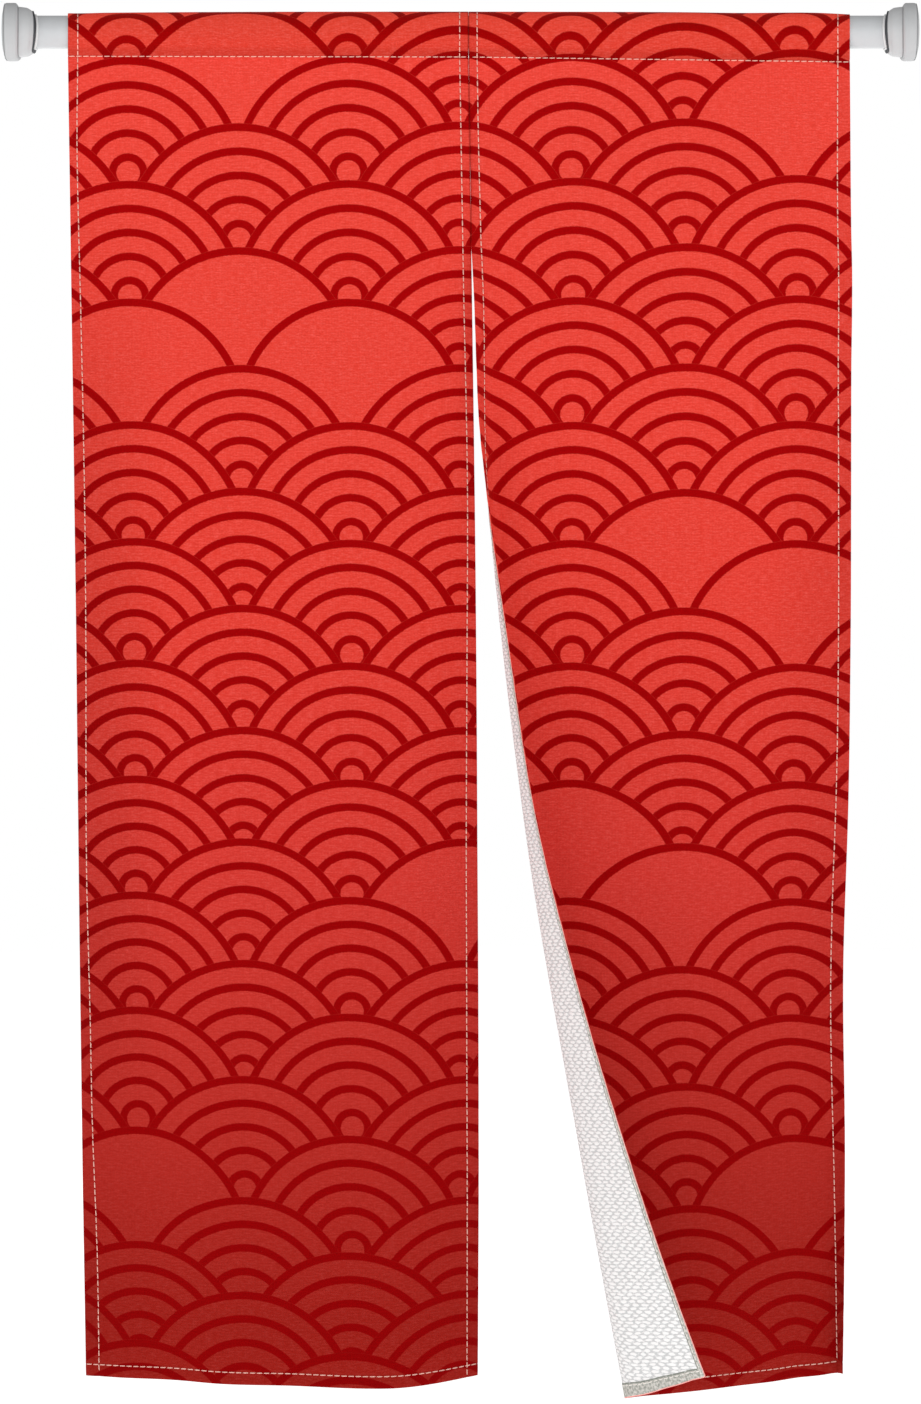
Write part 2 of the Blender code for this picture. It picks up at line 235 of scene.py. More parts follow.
def length_setting(name, description, default):
    return bpy.props.FloatProperty(
        name=name, description=description, default=default, min=0.0, precision=4, unit="LENGTH",
        subtype="DISTANCE",
    )


def colour_setting(name, description, default):
    return bpy.props.FloatVectorProperty(
        name=name, description=description, default=default, size=3, min=0.0, max=1.0, subtype="COLOR"
    )


def factor_setting(name, description, default, most=1.0):
    return bpy.props.FloatProperty(
        name=name, description=description, default=default, min=0.0, max=most, subtype="FACTOR"
    )


def power_setting(name, description, default):
    return bpy.props.FloatProperty(
        name=name, description=description, default=default, min=0.0, subtype="POWER"
    )


# ---------------------------------------------------------------- settings
class NorenClothSettings(bpy.types.PropertyGroup):
    """Sizes and colours of the two panels."""

    thickness: length_setting("Thickness", "One layer of cloth", 0.0009)
    hem_thickness: length_setting("Hem Thickness", "Two layers of cloth", 0.0014)
    thread_spacing: length_setting("Column Spacing", "Between columns of the mesh on flat cloth", 0.0036)
    curl_spacing: length_setting("Curl Spacing", "Between columns where the cloth curls", 0.0025)
    row_spacing: length_setting("Row Spacing", "Between rows of the mesh", 0.0051)
    unevenness: length_setting("Unevenness", "Depth of the cloth's small waves", 0.0005)
    pucker: length_setting("Pucker", "Depth of the ripples beside the hems", 0.0003)
    wave_width: length_setting("Wave Column", "From one column of waves to the next", 0.1206)
    wave_cycle: length_setting("Wave Cycle", "Height of four rows of waves", 0.2635)
    wave_radius: length_setting("Wave Radius", "Of a wave's outer line", 0.1219)
    ring_pitch: length_setting("Ring Pitch", "Between a wave's lines", 0.0262)
    line_width: length_setting("Line Width", "Of the printed lines", 0.0086)
    sleeve_red: colour_setting("Sleeve Red", "Ground colour round the rod", linear(215, 61, 46))
    # painted light: a lighter ground over the top of the rod, which makes up for the shade that falls there
    sleeve_top_painted_light: colour_setting("Sleeve Top", "Ground colour over the top of the rod", linear(255, 74, 55))
    top_red: colour_setting("Top Red", "Ground colour at the top", linear(239, 68, 55))
    upper_red: colour_setting("Upper Red", "Ground colour above the middle", linear(226, 60, 48))
    middle_red: colour_setting("Middle Red", "Ground colour below the middle", linear(210, 54, 46))
    lower_red: colour_setting("Lower Red", "Ground colour of the lower part", linear(183, 43, 36))
    bottom_red: colour_setting("Bottom Red", "Ground colour at the bottom", linear(153, 28, 21))
    sleeve_line: colour_setting("Sleeve Line", "Colour of the lines round the rod", linear(151, 0, 2))
    line_top: colour_setting("Top Line", "Colour of the lines at the top", linear(164, 0, 4))
    line_bottom: colour_setting("Bottom Line", "Colour of the lines at the bottom", linear(137, 0, 3))
    bare_yarn: colour_setting("Bare Yarn", "Flecks of yarn that the ink missed", linear(255, 250, 246))
    reverse: colour_setting("Reverse", "Unprinted reverse of the cloth", linear(247, 247, 246))
    reverse_shadow: colour_setting("Reverse Shadow", "Between yarns of the reverse", linear(203, 204, 204))
    reverse_hem: colour_setting("Reverse Hem", "Folded hems on the reverse", linear(214, 211, 204))
    # painted shade beside the hems' folds, and the dark spots of the hems' mottling
    fold_shade_and_hem_mottle: colour_setting("Reverse Fold", "Beside the folds of the hems", linear(136, 140, 131))
    bled_ink: colour_setting("Bled Ink", "Edges of the reverse that ink reached", linear(255, 176, 168))


class NorenStitchSettings(bpy.types.PropertyGroup):
    """Sizes and colours of the sewing thread."""

    pitch: length_setting("Pitch", "From stitch to stitch", 0.0076)
    hole: length_setting("Hole", "Between two stitches", 0.0014)
    thread_width: length_setting("Thread Width", "Width of a stitch", 0.0013)
    thread_height: length_setting("Thread Height", "How far a stitch stands proud", 0.0004)
    thread: colour_setting("Thread", "Colour of the thread on the print", linear(255, 197, 181))
    bobbin: colour_setting("Bobbin Thread", "Colour of the thread on the reverse", linear(252, 248, 240))
    ply_shade: factor_setting("Ply Shade", "How much darker the thread is between its plies", 0.12)


class NorenRodSettings(bpy.types.PropertyGroup):
    """Colours and fineness of the rod and its ends."""

    steps: bpy.props.IntProperty(
        name="Steps", description="Facets round the rod", default=96, min=12, max=256
    )
    bow: length_setting("Bow", "How far the cap's inner end bows along the rod in front", 0.0056)
    tube: colour_setting("Tube", "Painted tube", linear(196, 198, 200))
    foot: colour_setting("Foot", "Pads that press on the walls", linear(187, 188, 189))
    cap: colour_setting("Cap", "Caps behind the pads", linear(192, 193, 194))
    ring: colour_setting("Ring", "Dark rings in the caps", linear(62, 64, 68))
    collar: colour_setting("Collar", "Light collars on the tube", linear(232, 232, 232))


class NorenStudioSettings(bpy.types.PropertyGroup):
    """Floor, lights and camera."""

    floor_drop: length_setting("Floor Drop", "Height of the rod above the floor", 1.95)
    floor_radius: length_setting("Floor Radius", "Of the round floor", 9.0)
    camera_distance: length_setting("Camera Distance", "From the rod's plane", 2.5)
    camera_drop: length_setting("Camera Drop", "Of the camera below the rod", 0.7281)
    focal_length: bpy.props.FloatProperty(
        name="Focal Length", description="Of the lens, in millimetres on a 36 mm sensor", default=58.97,
        min=10.0,
    )
    sky: factor_setting("Sky", "Brightness of the light from all round", 0.46, 4.0)
    front_light: power_setting("Front Light", "Power of the wide lamp in front", 38.6)
    side_light: power_setting("Side Lights", "Power of each lamp at the sides", 16.5)
    back_light: power_setting("Back Light", "Power of the wide lamp behind", 26.0)
    floor_glow: factor_setting("Floor Glow", "Own brightness of the floor, which keeps it pale", 0.60)


# ---------------------------------------------------------------- curves and steps
def smooth_step(t):
    t = np.clip(t, 0.0, 1.0)
    return t * t * (3 - 2 * t)


def smooth_curve(stops, at):
    """Value at one place on a smooth curve through (place, value) stops."""
    if at <= stops[0][0]:
        return stops[0][1]
    if at >= stops[-1][0]:
        return stops[-1][1]
    steepness = [(b[1] - a[1]) / (b[0] - a[0]) for a, b in zip(stops, stops[1:])]
    i = max(k for k in range(len(steepness)) if stops[k][0] <= at)
    start_slope = (steepness[max(i - 1, 0)] + steepness[i]) / 2
    end_slope = (steepness[i] + steepness[min(i + 1, len(steepness) - 1)]) / 2
    step = stops[i + 1][0] - stops[i][0]
    t = (at - stops[i][0]) / step
    start = (1 + 2 * t) * (1 - t) ** 2 * stops[i][1] + t * (1 - t) ** 2 * step * start_slope
    end = t * t * (3 - 2 * t) * stops[i + 1][1] + t * t * (t - 1) * step * end_slope
    return start + end


def section_at(sections, below):
    """The cross-section's values at one level, read smoothly between the table's rows."""
    columns = zip(*sections)
    levels = next(columns)
    return Section(below, *(smooth_curve(list(zip(levels, column)), below) for column in columns))


# ---------------------------------------------------------------- the shape of the cloth
def direction(panel, section, along):
    """Angles of the cloth at distances from its outer edge, in radians."""
    t = along / panel.width
    rising = section.rise * (1 - t / panel.crest)
    past = np.clip((t - panel.crest) / (1 - panel.crest), 0.0, 1.0)
    angle = np.where(t < panel.crest, rising, -section.fall * past ** FALL_POWER)
    angle = angle + section.tilt * smooth_step(along / TILT_RAMP)
    angle = angle - section.back * (1 - smooth_step(along / BACK_REACH))
    over_flap = (panel.width - along - section.flap) / (section.reach - section.flap)
    return np.radians(angle + section.turn * (1 - smooth_step(over_flap)))


def take_up(panel, along):
    """Length that the side hems draw in from threads at distances from the outer edge."""
    outer = panel.outer_take_up * (1 - smooth_step(along / TAKE_UP_REACH))
    slit = panel.slit_take_up * (1 - smooth_step((panel.width - along) / TAKE_UP_REACH))
    return outer + slit


def stitch_depth(panel, along):
    """How far the sleeve stitching lies below the rod's axis."""
    at_outer, at_slit = panel.stitch
    return at_outer + (at_slit - at_outer) * along / panel.width


def even(start, end, spacing):
    """Even places from start to end, both included, at most a spacing apart."""
    return np.linspace(start, end, ceil((end - start) / spacing) + 1)


def hem_stations(stitch):
    """Places from an edge to just inside its hem, with one on the stitch line."""
    return np.array([
        EDGE_INSET,
        0.4 * stitch,
        0.75 * stitch,
        stitch - GROOVE_REACH,
        stitch,
        stitch + GROOVE_REACH,
        stitch + FOLD_MARGIN,
        stitch + FOLD_MARGIN + FOLD_STEP,
    ])


STITCH_STATION = 4  # where the stitch line stands in the list above


def widest(hem):
    return max(width for _, width in hem)


def columns_at(panel, settings, below):
    """Distances of all columns from the outer edge, at one level."""
    outer = hem_stations(smooth_curve(panel.outer_hem, below))
    slit = panel.width - hem_stations(smooth_curve(panel.slit_hem, below))[::-1]
    hems = widest(panel.outer_hem) + widest(panel.slit_hem)
    count = ceil((panel.width - panel.curl - hems) / settings.thread_spacing)
    if panel.curl:
        start = panel.width - panel.curl
        flat = np.linspace(outer[-1], start, count)[1:]
        curled = np.linspace(start, slit[0], ceil(panel.curl / settings.curl_spacing))[1:-1]
        middle = np.concatenate([flat, curled])
    else:
        middle = np.linspace(outer[-1], slit[0], count)[1:-1]
    return np.concatenate([outer, middle, slit])


def levels_below(settings):
    """Distances of all hanging rows below the sleeve stitching."""
    hem = HANG_LENGTH - hem_stations(BOTTOM_HEM)[::-1]
    top = np.array([0.0, GROOVE_REACH])
    return np.concatenate([top, even(2.5 * GROOVE_REACH, hem[0], settings.row_spacing)[:-1], hem])


def levels_of_points(levels, bottom_hems):
    """Level of every hanging point: the last rows follow the bottom hem, whose depth changes along it."""
    grid = np.repeat(levels[:, None], len(bottom_hems), axis=1)
    for c, depth in enumerate(bottom_hems):
        stations = HANG_LENGTH - hem_stations(depth)[::-1]
        grid[-len(stations):, c] = stations
    return grid


def hanging_rows(panel, settings, levels):
    """Front face below the sleeve, row by row: each thread keeps its length, across and down."""
    columns = columns_at(panel, settings, 0.0)
    heights = -stitch_depth(panel, columns)
    slack = np.array([smooth_curve(panel.slack, along) for along in columns])
    rows = []
    for index, below in enumerate(levels):
        columns = columns_at(panel, settings, below)
        section = section_at(panel.sections, below)
        widths = np.diff(columns)
        runs = np.sqrt(widths ** 2 - np.diff(heights) ** 2)
        angles = direction(panel, section, (columns[1:] + columns[:-1]) / 2)
        start = ROD_MIDDLE + panel.side * (section.outer_x - columns[0])
        x = start - panel.side * np.concatenate([[0.0], np.cumsum(runs * np.cos(angles))])
        y = -np.concatenate([[0.0], np.cumsum(runs * np.sin(angles))])
        if index:
            step = below - levels[index - 1]
            longer = slack + STITCH_DEPTH - stitch_depth(panel, columns) - take_up(panel, columns)
            thread = step * (1 + longer / HANG_LENGTH)
            sideways = (x - rows[-1][:, 0]) ** 2 + (y - rows[-1][:, 1]) ** 2
            heights = heights - np.sqrt(thread ** 2 - sideways)
        rows.append(np.column_stack([x, y, heights]))
    return np.array(rows)


def sleeve_profile(depth, puff, behind):
    """Outer face of the sleeve as (y, z), from the tucked end behind to just above the front stitching."""
    radius = SLEEVE_RADIUS + puff / 2
    lift = puff / 2
    tangents = []
    for y in (behind, 0.0):
        reach = sqrt(y ** 2 + (depth + lift) ** 2)
        spread = acos(radius / reach)
        downward = atan2(-(depth + lift), y)
        tangents.append(downward + spread if y else downward - spread + 2 * pi)
    turn = np.linspace(tangents[0], tangents[1], SLEEVE_TURNS)
    arc = np.column_stack([radius * np.cos(turn), lift + radius * np.sin(turn)])
    tuck_end = np.array([behind, -depth - SLEEVE_TUCK + EDGE_INSET])
    stitched = np.array([behind, -depth])
    stitched_front = np.array([0.0, -depth])
    tuck = [tuck_end + (stitched - tuck_end) * t for t in TUCK_ROWS]
    back = [stitched + (arc[0] - stitched) * t for t in BACK_ROWS]
    front = [arc[-1] + (stitched_front - arc[-1]) * t for t in FRONT_ROWS]
    return np.concatenate([tuck, back, arc, front])


TUCK_ROWS = (0.0, 0.3, 0.6, 0.85)  # places of the rows from the tucked end to the stitching behind,
BACK_ROWS = (0.0, 0.2, 0.6)  # from there up to the rod
FRONT_ROWS = (0.25, 0.5, 0.7, 0.85)  # and from the rod down to the stitching in front
SLEEVE_TURNS = 25  # rows round the rod
TUCK_STITCH_ROW = len(TUCK_ROWS)  # the one that the stitching passes through behind


def sleeve_rows(panel, settings, columns, first_row):
    """Rows of the sleeve, in order from the tucked end to the row above the stitching."""
    behind = 2 * settings.hem_thickness + GAP  # from the front cloth's face to the tucked end's outer face
    profiles = []
    for along in columns:
        puff = smooth_curve(panel.puffs, along / panel.width)
        profiles.append(sleeve_profile(stitch_depth(panel, along), puff, behind))
    profiles = np.array(profiles)
    count = profiles.shape[1]
    rows = np.empty((count, len(columns), 3))
    rows[:, :, 1] = profiles[:, :, 0].T
    rows[:, :, 2] = profiles[:, :, 1].T
    drawn_in = 1 - SLEEVE_NARROWING * np.maximum(-rows[:, :, 1], 0.0)
    rows[:, :, 0] = ROD_MIDDLE + (first_row[:, 0] - ROD_MIDDLE) * drawn_in
    return rows


def normals_of(panel, points):
    """Directions out of the printed face at a grid of points."""
    across = np.empty_like(points)
    across[:, 1:-1] = points[:, 2:] - points[:, :-2]
    across[:, 0] = points[:, 1] - points[:, 0]
    across[:, -1] = points[:, -1] - points[:, -2]
    down = np.empty_like(points)
    down[1:-1] = points[2:] - points[:-2]
    down[0] = points[1] - points[0]
    down[-1] = points[-1] - points[-2]
    out = panel.side * np.cross(across, down)
    return out / np.linalg.norm(out, axis=2, keepdims=True)


# Small waves of a panel: how many there are in each metre along and below, the share of a wave by which
# they start later or earlier on a panel ("sided"), the angle at which they start, in radians, and their
# height as a share.
SmallWave = namedtuple("SmallWave", "along below sided start height")
SMALL_WAVES = (
    SmallWave(1 / 0.21, 0.9, 0.1, 0.0, 0.5),
    SmallWave(1 / 0.118, -1.7, 0.0, 2.0, 0.4),
    SmallWave(2.1, 1 / 0.235, 0.0, 0.7, 0.3),
)
WAVES_IN_FULL = 0.12  # place below the sleeve from where the waves have their full height
PUCKER_HEIGHT = 0.7  # of the ripples beside the hems, as a share of the pucker
SHORT_RIPPLES = (0.031, 1.5, 0.23)  # down the side hems: their length, sway and the sway's length
LONG_RIPPLE = 0.047  # length of those between them
LONG_RIPPLE_HEIGHT = 0.7  # as a share
LONG_RIPPLE_SLANT = 4.0  # how far they slant over the width, in radians
DRAWS = (0.029, 1.8, 0.19)  # ripples along the sleeve stitching, as the short ones
OUTER_RIPPLES = (0.016, 0.016)  # the ripples' middle and reach from the outer edge,
SLIT_RIPPLES = (0.013, 0.014)  # from the slit edge
SLEEVE_RIPPLES = (0.012, 0.016)  # and below the sleeve stitching
SLIT_RIPPLE_HEIGHT = 0.8  # as a share


def beside(place, middle, reach):
    """1 at the middle, dying away over the reach to either side."""
    return np.exp(-((place - middle) / reach) ** 2)


def uneven_ripples(place, length, sway, sway_length):
    """Ripples of one length, drawn out and pushed together along the way."""
    return np.sin(2 * pi * place / length + sway * np.sin(2 * pi * place / sway_length))


def small_waves(panel, settings, along, below):
    """How far the cloth's small waves and the ripples beside its hems stand out of its smooth shape."""
    waves = 0.0
    for wave in SMALL_WAVES:
        turns = wave.along * along + wave.below * below + wave.sided * panel.side
        waves = waves + wave.height * np.sin(2 * pi * turns + wave.start)
    at_slit = SLIT_RIPPLE_HEIGHT * beside(panel.width - along, *SLIT_RIPPLES)
    slant = LONG_RIPPLE_SLANT * along / panel.width
    ripples = uneven_ripples(below, *SHORT_RIPPLES)
    ripples = ripples + LONG_RIPPLE_HEIGHT * np.sin(2 * pi * below / LONG_RIPPLE + slant)
    ripples = ripples * (beside(along, *OUTER_RIPPLES) + at_slit)
    draws = uneven_ripples(along, *DRAWS) * beside(below, *SLEEVE_RIPPLES)
    amount = settings.unevenness * waves * smooth_step(below / WAVES_IN_FULL)
    return amount + settings.pucker * PUCKER_HEIGHT * (ripples + draws)


class Cloth:
    """One panel's cloth as grids of points: rows run down the strip, columns from the outer edge."""

    def __init__(self, panel, settings):
        self.panel = panel
        levels = levels_below(settings)
        columns = columns_at(panel, settings, 0.0)
        bottom_hems = [smooth_curve(panel.bottom_hem, along) for along in columns]
        level_grid = levels_of_points(levels, bottom_hems)
        smooth_rows = hanging_rows(panel, settings, levels)
        hanging = smooth_rows.copy()
        for c in range(len(columns)):
            for axis in range(3):
                hanging[:, c, axis] = np.interp(level_grid[:, c], levels, smooth_rows[:, c, axis])
        sleeve = sleeve_rows(panel, settings, columns, hanging[0])
        self.first_hanging = len(sleeve)
        base = np.concatenate([sleeve, hanging])
        rows, across = base.shape[:2]

        self.along = np.array([columns] * len(sleeve) + [columns_at(panel, settings, b) for b in levels])
        steps = np.linalg.norm(np.diff(base[:len(sleeve) + 1], axis=0), axis=2)
        up = np.flip(np.cumsum(np.flip(steps, axis=0), axis=0), axis=0)
        self.below = np.concatenate([-up, level_grid])
        self.print_below = np.where(self.below < 0, panel.sleeve_print * self.below, self.below)

        self.stitch_columns = (STITCH_STATION, across - 1 - STITCH_STATION)
        self.bottom_row = rows - 1 - STITCH_STATION
        self.grooves = np.zeros((rows, across))
        self.grooves[:, self.stitch_columns] = 1.0
        self.grooves[[TUCK_STITCH_ROW, self.first_hanging, self.bottom_row], :] = 1.0

        normals = normals_of(panel, base)
        base = base + normals * small_waves(panel, settings, self.along, self.below)[:, :, None]
        self.normals = normals_of(panel, base)
        self.hem = self.hem_amount(levels, bottom_hems)
        thickness = settings.thickness + (settings.hem_thickness - settings.thickness) * self.hem
        depths = GROOVE_DEPTH * self.grooves
        self.front = base - self.normals * depths[:, :, None]
        self.back = base - self.normals * (thickness - depths)[:, :, None]

    def hem_amount(self, levels, bottom_hems):
        """1 where the cloth is folded double, 0 where it is one layer."""
        panel = self.panel
        sides = []
        for hem in (panel.outer_hem, panel.slit_hem):
            widths = [smooth_curve(hem, below) for below in levels]
            sides.append(np.array(widths[:1] * self.first_hanging + widths)[:, None])
        amounts = []
        for stitch, distance in (
            (sides[0], self.along),
            (sides[1], panel.width - self.along),
            (np.array(bottom_hems), HANG_LENGTH - self.below),
            (SLEEVE_TUCK, self.below - self.below[0]),
        ):
            amounts.append(1 - smooth_step((distance - stitch - FOLD_MARGIN) / FOLD_STEP + 1e-6))
        return np.max(np.broadcast_arrays(*amounts), axis=0)

    def edge_loop(self):
        """Rows and columns of the points round the edge, in order."""
        rows, across = self.along.shape
        loop = [(0, c) for c in range(across - 1)]
        loop += [(r, across - 1) for r in range(rows - 1)]
        loop += [(rows - 1, c) for c in range(across - 1, 0, -1)]
        loop += [(r, 0) for r in range(rows - 1, 0, -1)]
        return loop

    def outward(self, row, column):
        """Direction out of the cloth's edge, in its own plane."""
        rows, across = self.along.shape
        direction_out = np.zeros(3)
        inner_row = min(max(row, 1), rows - 2)
        inner_column = min(max(column, 1), across - 2)
        for inner in ((inner_row, column), (row, inner_column)):
            if inner != (row, column):
                side = self.front[row, column] - self.front[inner]
                direction_out = direction_out + side / np.linalg.norm(side)
        normal = self.normals[row, column]
        direction_out = direction_out - normal * np.dot(direction_out, normal)
        return direction_out / np.linalg.norm(direction_out)


# ---------------------------------------------------------------- materials
class Recipe:
    """A material's nodes, added one by one, so that a formula reads from the inside out."""

    def __init__(self, name, roughness):
        self.material = bpy.data.materials.new(name)
        self.material.use_nodes = True
        self.nodes = self.material.node_tree.nodes
        self.links = self.material.node_tree.links
        self.shader = self.nodes["Principled BSDF"]
        self.shader.inputs["Roughness"].default_value = roughness

    def feed(self, socket, value):
        if isinstance(value, bpy.types.NodeSocket):
            self.links.new(value, socket)
        else:
            socket.default_value = value

    def math(self, operation, *values):
        node = self.nodes.new("ShaderNodeMath")
        node.operation = operation
        for socket, value in zip(node.inputs, values):
            self.feed(socket, value)
        return node.outputs[0]

    def add(self, *values):
        total = values[0]
        for value in values[1:]:
            total = self.math("ADD", total, value)
        return total

    def multiply(self, *values):
        product = values[0]
        for value in values[1:]:
            product = self.math("MULTIPLY", product, value)
        return product

    def subtract(self, first, second):
        return self.math("SUBTRACT", first, second)

    def divide(self, first, second):
        return self.math("DIVIDE", first, second)

    def mix(self, factor, first, second):
        """first where the factor is 0, second where it is 1."""
        return self.add(first, self.multiply(factor, self.subtract(second, first)))

    def wave(self, place, length):
        """A sine of a place, of one wave length."""
        return self.math("SINE", self.multiply(place, 2 * pi / length))

    def ease(self, value, low, high):
        """0 below low, 1 above high and smooth between."""
        node = self.nodes.new("ShaderNodeMapRange")
        node.interpolation_type = "SMOOTHSTEP"
        self.feed(node.inputs["Value"], value)
        node.inputs["From Min"].default_value = min(low, high)
        node.inputs["From Max"].default_value = max(low, high)
        node.inputs["To Min"].default_value = 0.0 if low < high else 1.0
        node.inputs["To Max"].default_value = 1.0 if low < high else 0.0
        return node.outputs[0]

    def places(self, attribute):
        """The three numbers of one of the mesh's own attributes."""
        node = self.nodes.new("ShaderNodeAttribute")
        node.attribute_name = attribute
        parts = self.nodes.new("ShaderNodeSeparateXYZ")
        self.links.new(node.outputs["Vector"], parts.inputs[0])
        return parts.outputs

    def object_places(self):
        node = self.nodes.new("ShaderNodeTexCoord")
        parts = self.nodes.new("ShaderNodeSeparateXYZ")
        self.links.new(node.outputs["Object"], parts.inputs[0])
        return parts.outputs

    def noise(self, x, y, z=0.0, detail=2.0):
        """Noise of about 0 to 1 at a place that is already scaled."""
        place = self.nodes.new("ShaderNodeCombineXYZ")
        for socket, value in zip(place.inputs, (x, y, z)):
            self.feed(socket, value)
        node = self.nodes.new("ShaderNodeTexNoise")
        node.inputs["Scale"].default_value = 1.0
        node.inputs["Detail"].default_value = detail
        self.links.new(place.outputs[0], node.inputs["Vector"])
        return node.outputs[0]

    def grain(self, across, down, scales, layer=0.0, detail=2.0):
        """Noise over a surface, with so many grains a metre across and down; its layers differ."""
        x = self.multiply(across, scales[0])
        y = self.multiply(down, scales[1])
        return self.noise(x, y, layer, detail)

    def blend(self, factor, first, second):
        """Two colours mixed by a factor."""
        node = self.nodes.new("ShaderNodeMix")
        node.data_type = "RGBA"
        self.feed(node.inputs[0], factor)
        for socket, colour in ((node.inputs[6], first), (node.inputs[7], second)):
            if isinstance(colour, bpy.types.NodeSocket):
                self.links.new(colour, socket)
            else:
                socket.default_value = (*colour, 1.0)
        return node.outputs[2]

    def plain(self, colour):
        """One colour, as an output that other nodes can be fed with."""
        node = self.nodes.new("ShaderNodeRGB")
        node.outputs[0].default_value = (*colour, 1.0)
        return node.outputs[0]

    def ramp(self, value, stops):
        """Colours read from (place, colour) stops, places from 0 to 1."""
        node = self.nodes.new("ShaderNodeValToRGB")
        elements = node.color_ramp.elements
        while len(elements) < len(stops):
            elements.new(0.5)
        for element, (place, colour) in zip(elements, stops):
            element.position = place
            element.color = (*colour, 1.0)
        self.feed(node.inputs[0], value)
        return node.outputs[0]

    def brighten(self, colour, factor):
        """A colour multiplied by a number."""
        node = self.nodes.new("ShaderNodeVectorMath")
        node.operation = "SCALE"
        self.links.new(colour, node.inputs[0])
        self.feed(node.inputs["Scale"], factor)
        return node.outputs[0]

    def bump(self, height, distance, strength=1.0):
        node = self.nodes.new("ShaderNodeBump")
        node.inputs["Distance"].default_value = distance
        node.inputs["Strength"].default_value = strength
        self.links.new(height, node.inputs["Height"])
        self.links.new(node.outputs[0], self.shader.inputs["Normal"])

    def finish(self, colour):
        self.feed(self.shader.inputs["Base Color"], colour)
        return self.material


def wave_lines(recipe, cloth, across, down, swell):
    """The wave print's line mask: 1 on a line, 0 on the ground; swell widens the waves below their tops.

    Every wave is a disc with rings. Rows overlap like roof tiles, each over the row above it, so the
    lowest disc that reaches a place is the one that shows there.
    """
    half_line = cloth.line_width / 2
    quarter = cloth.wave_cycle / 4
    tops = [quarter * row + ODD_DROP * (row % 2) + PAIR_DROP * (row // 2) for row in range(4)]
    even_down = down
    total_rise = 0.0
    for row, rise in RAISES:
        total_rise += rise
        raised_top = row // 4 * cloth.wave_cycle + tops[row % 4] - total_rise
        raised = recipe.math("GREATER_THAN", down, raised_top - half_line)
        even_down = recipe.add(even_down, recipe.multiply(raised, rise))
    reached = recipe.divide(recipe.add(even_down, half_line), cloth.wave_cycle)
    cycle = recipe.math("FLOOR", reached)
    rest = recipe.subtract(reached, cycle)
    lowest_row = recipe.multiply(cycle, 4.0)
    for top in tops[1:]:
        lowest_row = recipe.add(lowest_row, recipe.math("GREATER_THAN", rest, top / cloth.wave_cycle))

    def disc(row):
        """Distance from the middle of a row's nearest disc, whether it reaches here, and its number."""
        odd = recipe.math("FLOORED_MODULO", row, 2.0)
        late = recipe.math("GREATER_THAN", recipe.math("FLOORED_MODULO", row, 4.0), 1.5)
        top = recipe.add(
            recipe.multiply(row, quarter),
            recipe.multiply(odd, ODD_DROP),
            recipe.multiply(late, PAIR_DROP),
            *(
                recipe.multiply(recipe.math("GREATER_THAN", row, first - 0.5), -rise)
                for first, rise in RAISES
            ),
        )
        first_column = recipe.subtract(1.0, odd)
        columns = recipe.subtract(recipe.divide(across, cloth.wave_width), first_column)
        pairs = recipe.math("ROUND", recipe.multiply(columns, 0.5))
        column = recipe.add(recipe.multiply(pairs, 2.0), first_column)
        sideways = recipe.subtract(across, recipe.multiply(column, cloth.wave_width))
        upward = recipe.subtract(recipe.subtract(down, top), recipe.add(swell, cloth.wave_radius))
        squares = recipe.add(recipe.multiply(sideways, sideways), recipe.multiply(upward, upward))
        distance = recipe.subtract(recipe.math("SQRT", squares), swell)
        reaches = recipe.math("LESS_THAN", distance, cloth.wave_radius + half_line)
        number = recipe.add(recipe.multiply(column, WAVE_NUMBER_STEP), row)
        return distance, reaches, number

    distance, _, number = disc(recipe.subtract(lowest_row, 2.0))
    for above in (1.0, 0.0):
        nearer, reaches, its_number = disc(recipe.subtract(lowest_row, above))
        distance = recipe.mix(reaches, distance, nearer)
        number = recipe.mix(reaches, number, its_number)

    rings = recipe.divide(recipe.subtract(cloth.wave_radius, distance), cloth.ring_pitch)
    ring = recipe.math("MAXIMUM", recipe.math("ROUND", rings), 0.0)
    from_line = recipe.multiply(recipe.math("ABSOLUTE", recipe.subtract(rings, ring)), cloth.ring_pitch)
    plain = 0.0
    for column, row in PLAIN_WAVES:
        same = recipe.math("COMPARE", number, float(column * WAVE_NUMBER_STEP + row), 0.5)
        plain = recipe.add(plain, same)
    inner = recipe.math("GREATER_THAN", ring, 0.5)
    past = recipe.math("GREATER_THAN", ring, RING_COUNT - 0.5)
    left_out = recipe.math("MAXIMUM", recipe.multiply(plain, inner), past)
    from_line = recipe.add(from_line, left_out)
    return recipe.ease(from_line, half_line + LINE_BLUR, half_line - LINE_BLUR)


WAVE_NUMBER_STEP = 100.0  # a wave's number is this times its column, plus its row
LINE_BLUR = 0.0006  # how softly the ink ends


def ground_and_ink(recipe, cloth, down):
    """Colours of the ground and of the lines, which change down the cloth and are others round the rod."""
    level = recipe.divide(down, HANG_LENGTH)
    ground = recipe.ramp(level, (
        (0.0, cloth.top_red),
        (0.42, cloth.upper_red),
        (0.61, cloth.middle_red),
        (0.79, cloth.lower_red),
        (0.95, cloth.bottom_red),
    ))
    ink = recipe.ramp(level, ((0.18, cloth.line_top), (1.0, cloth.line_bottom)))
    # painted light: over the top of the rod the sleeve's ground is lightened
    from_top = recipe.math("ABSOLUTE", recipe.subtract(down, SLEEVE_TOP))
    painted_light_over_rod = recipe.ease(from_top, *SLEEVE_TOP_REACH)
    round_rod = recipe.blend(painted_light_over_rod, cloth.sleeve_red, cloth.sleeve_top_painted_light)
    on_sleeve = recipe.ease(down, SLEEVE_BLUR, -SLEEVE_BLUR)
    return recipe.blend(on_sleeve, ground, round_rod), recipe.blend(on_sleeve, ink, cloth.sleeve_line)


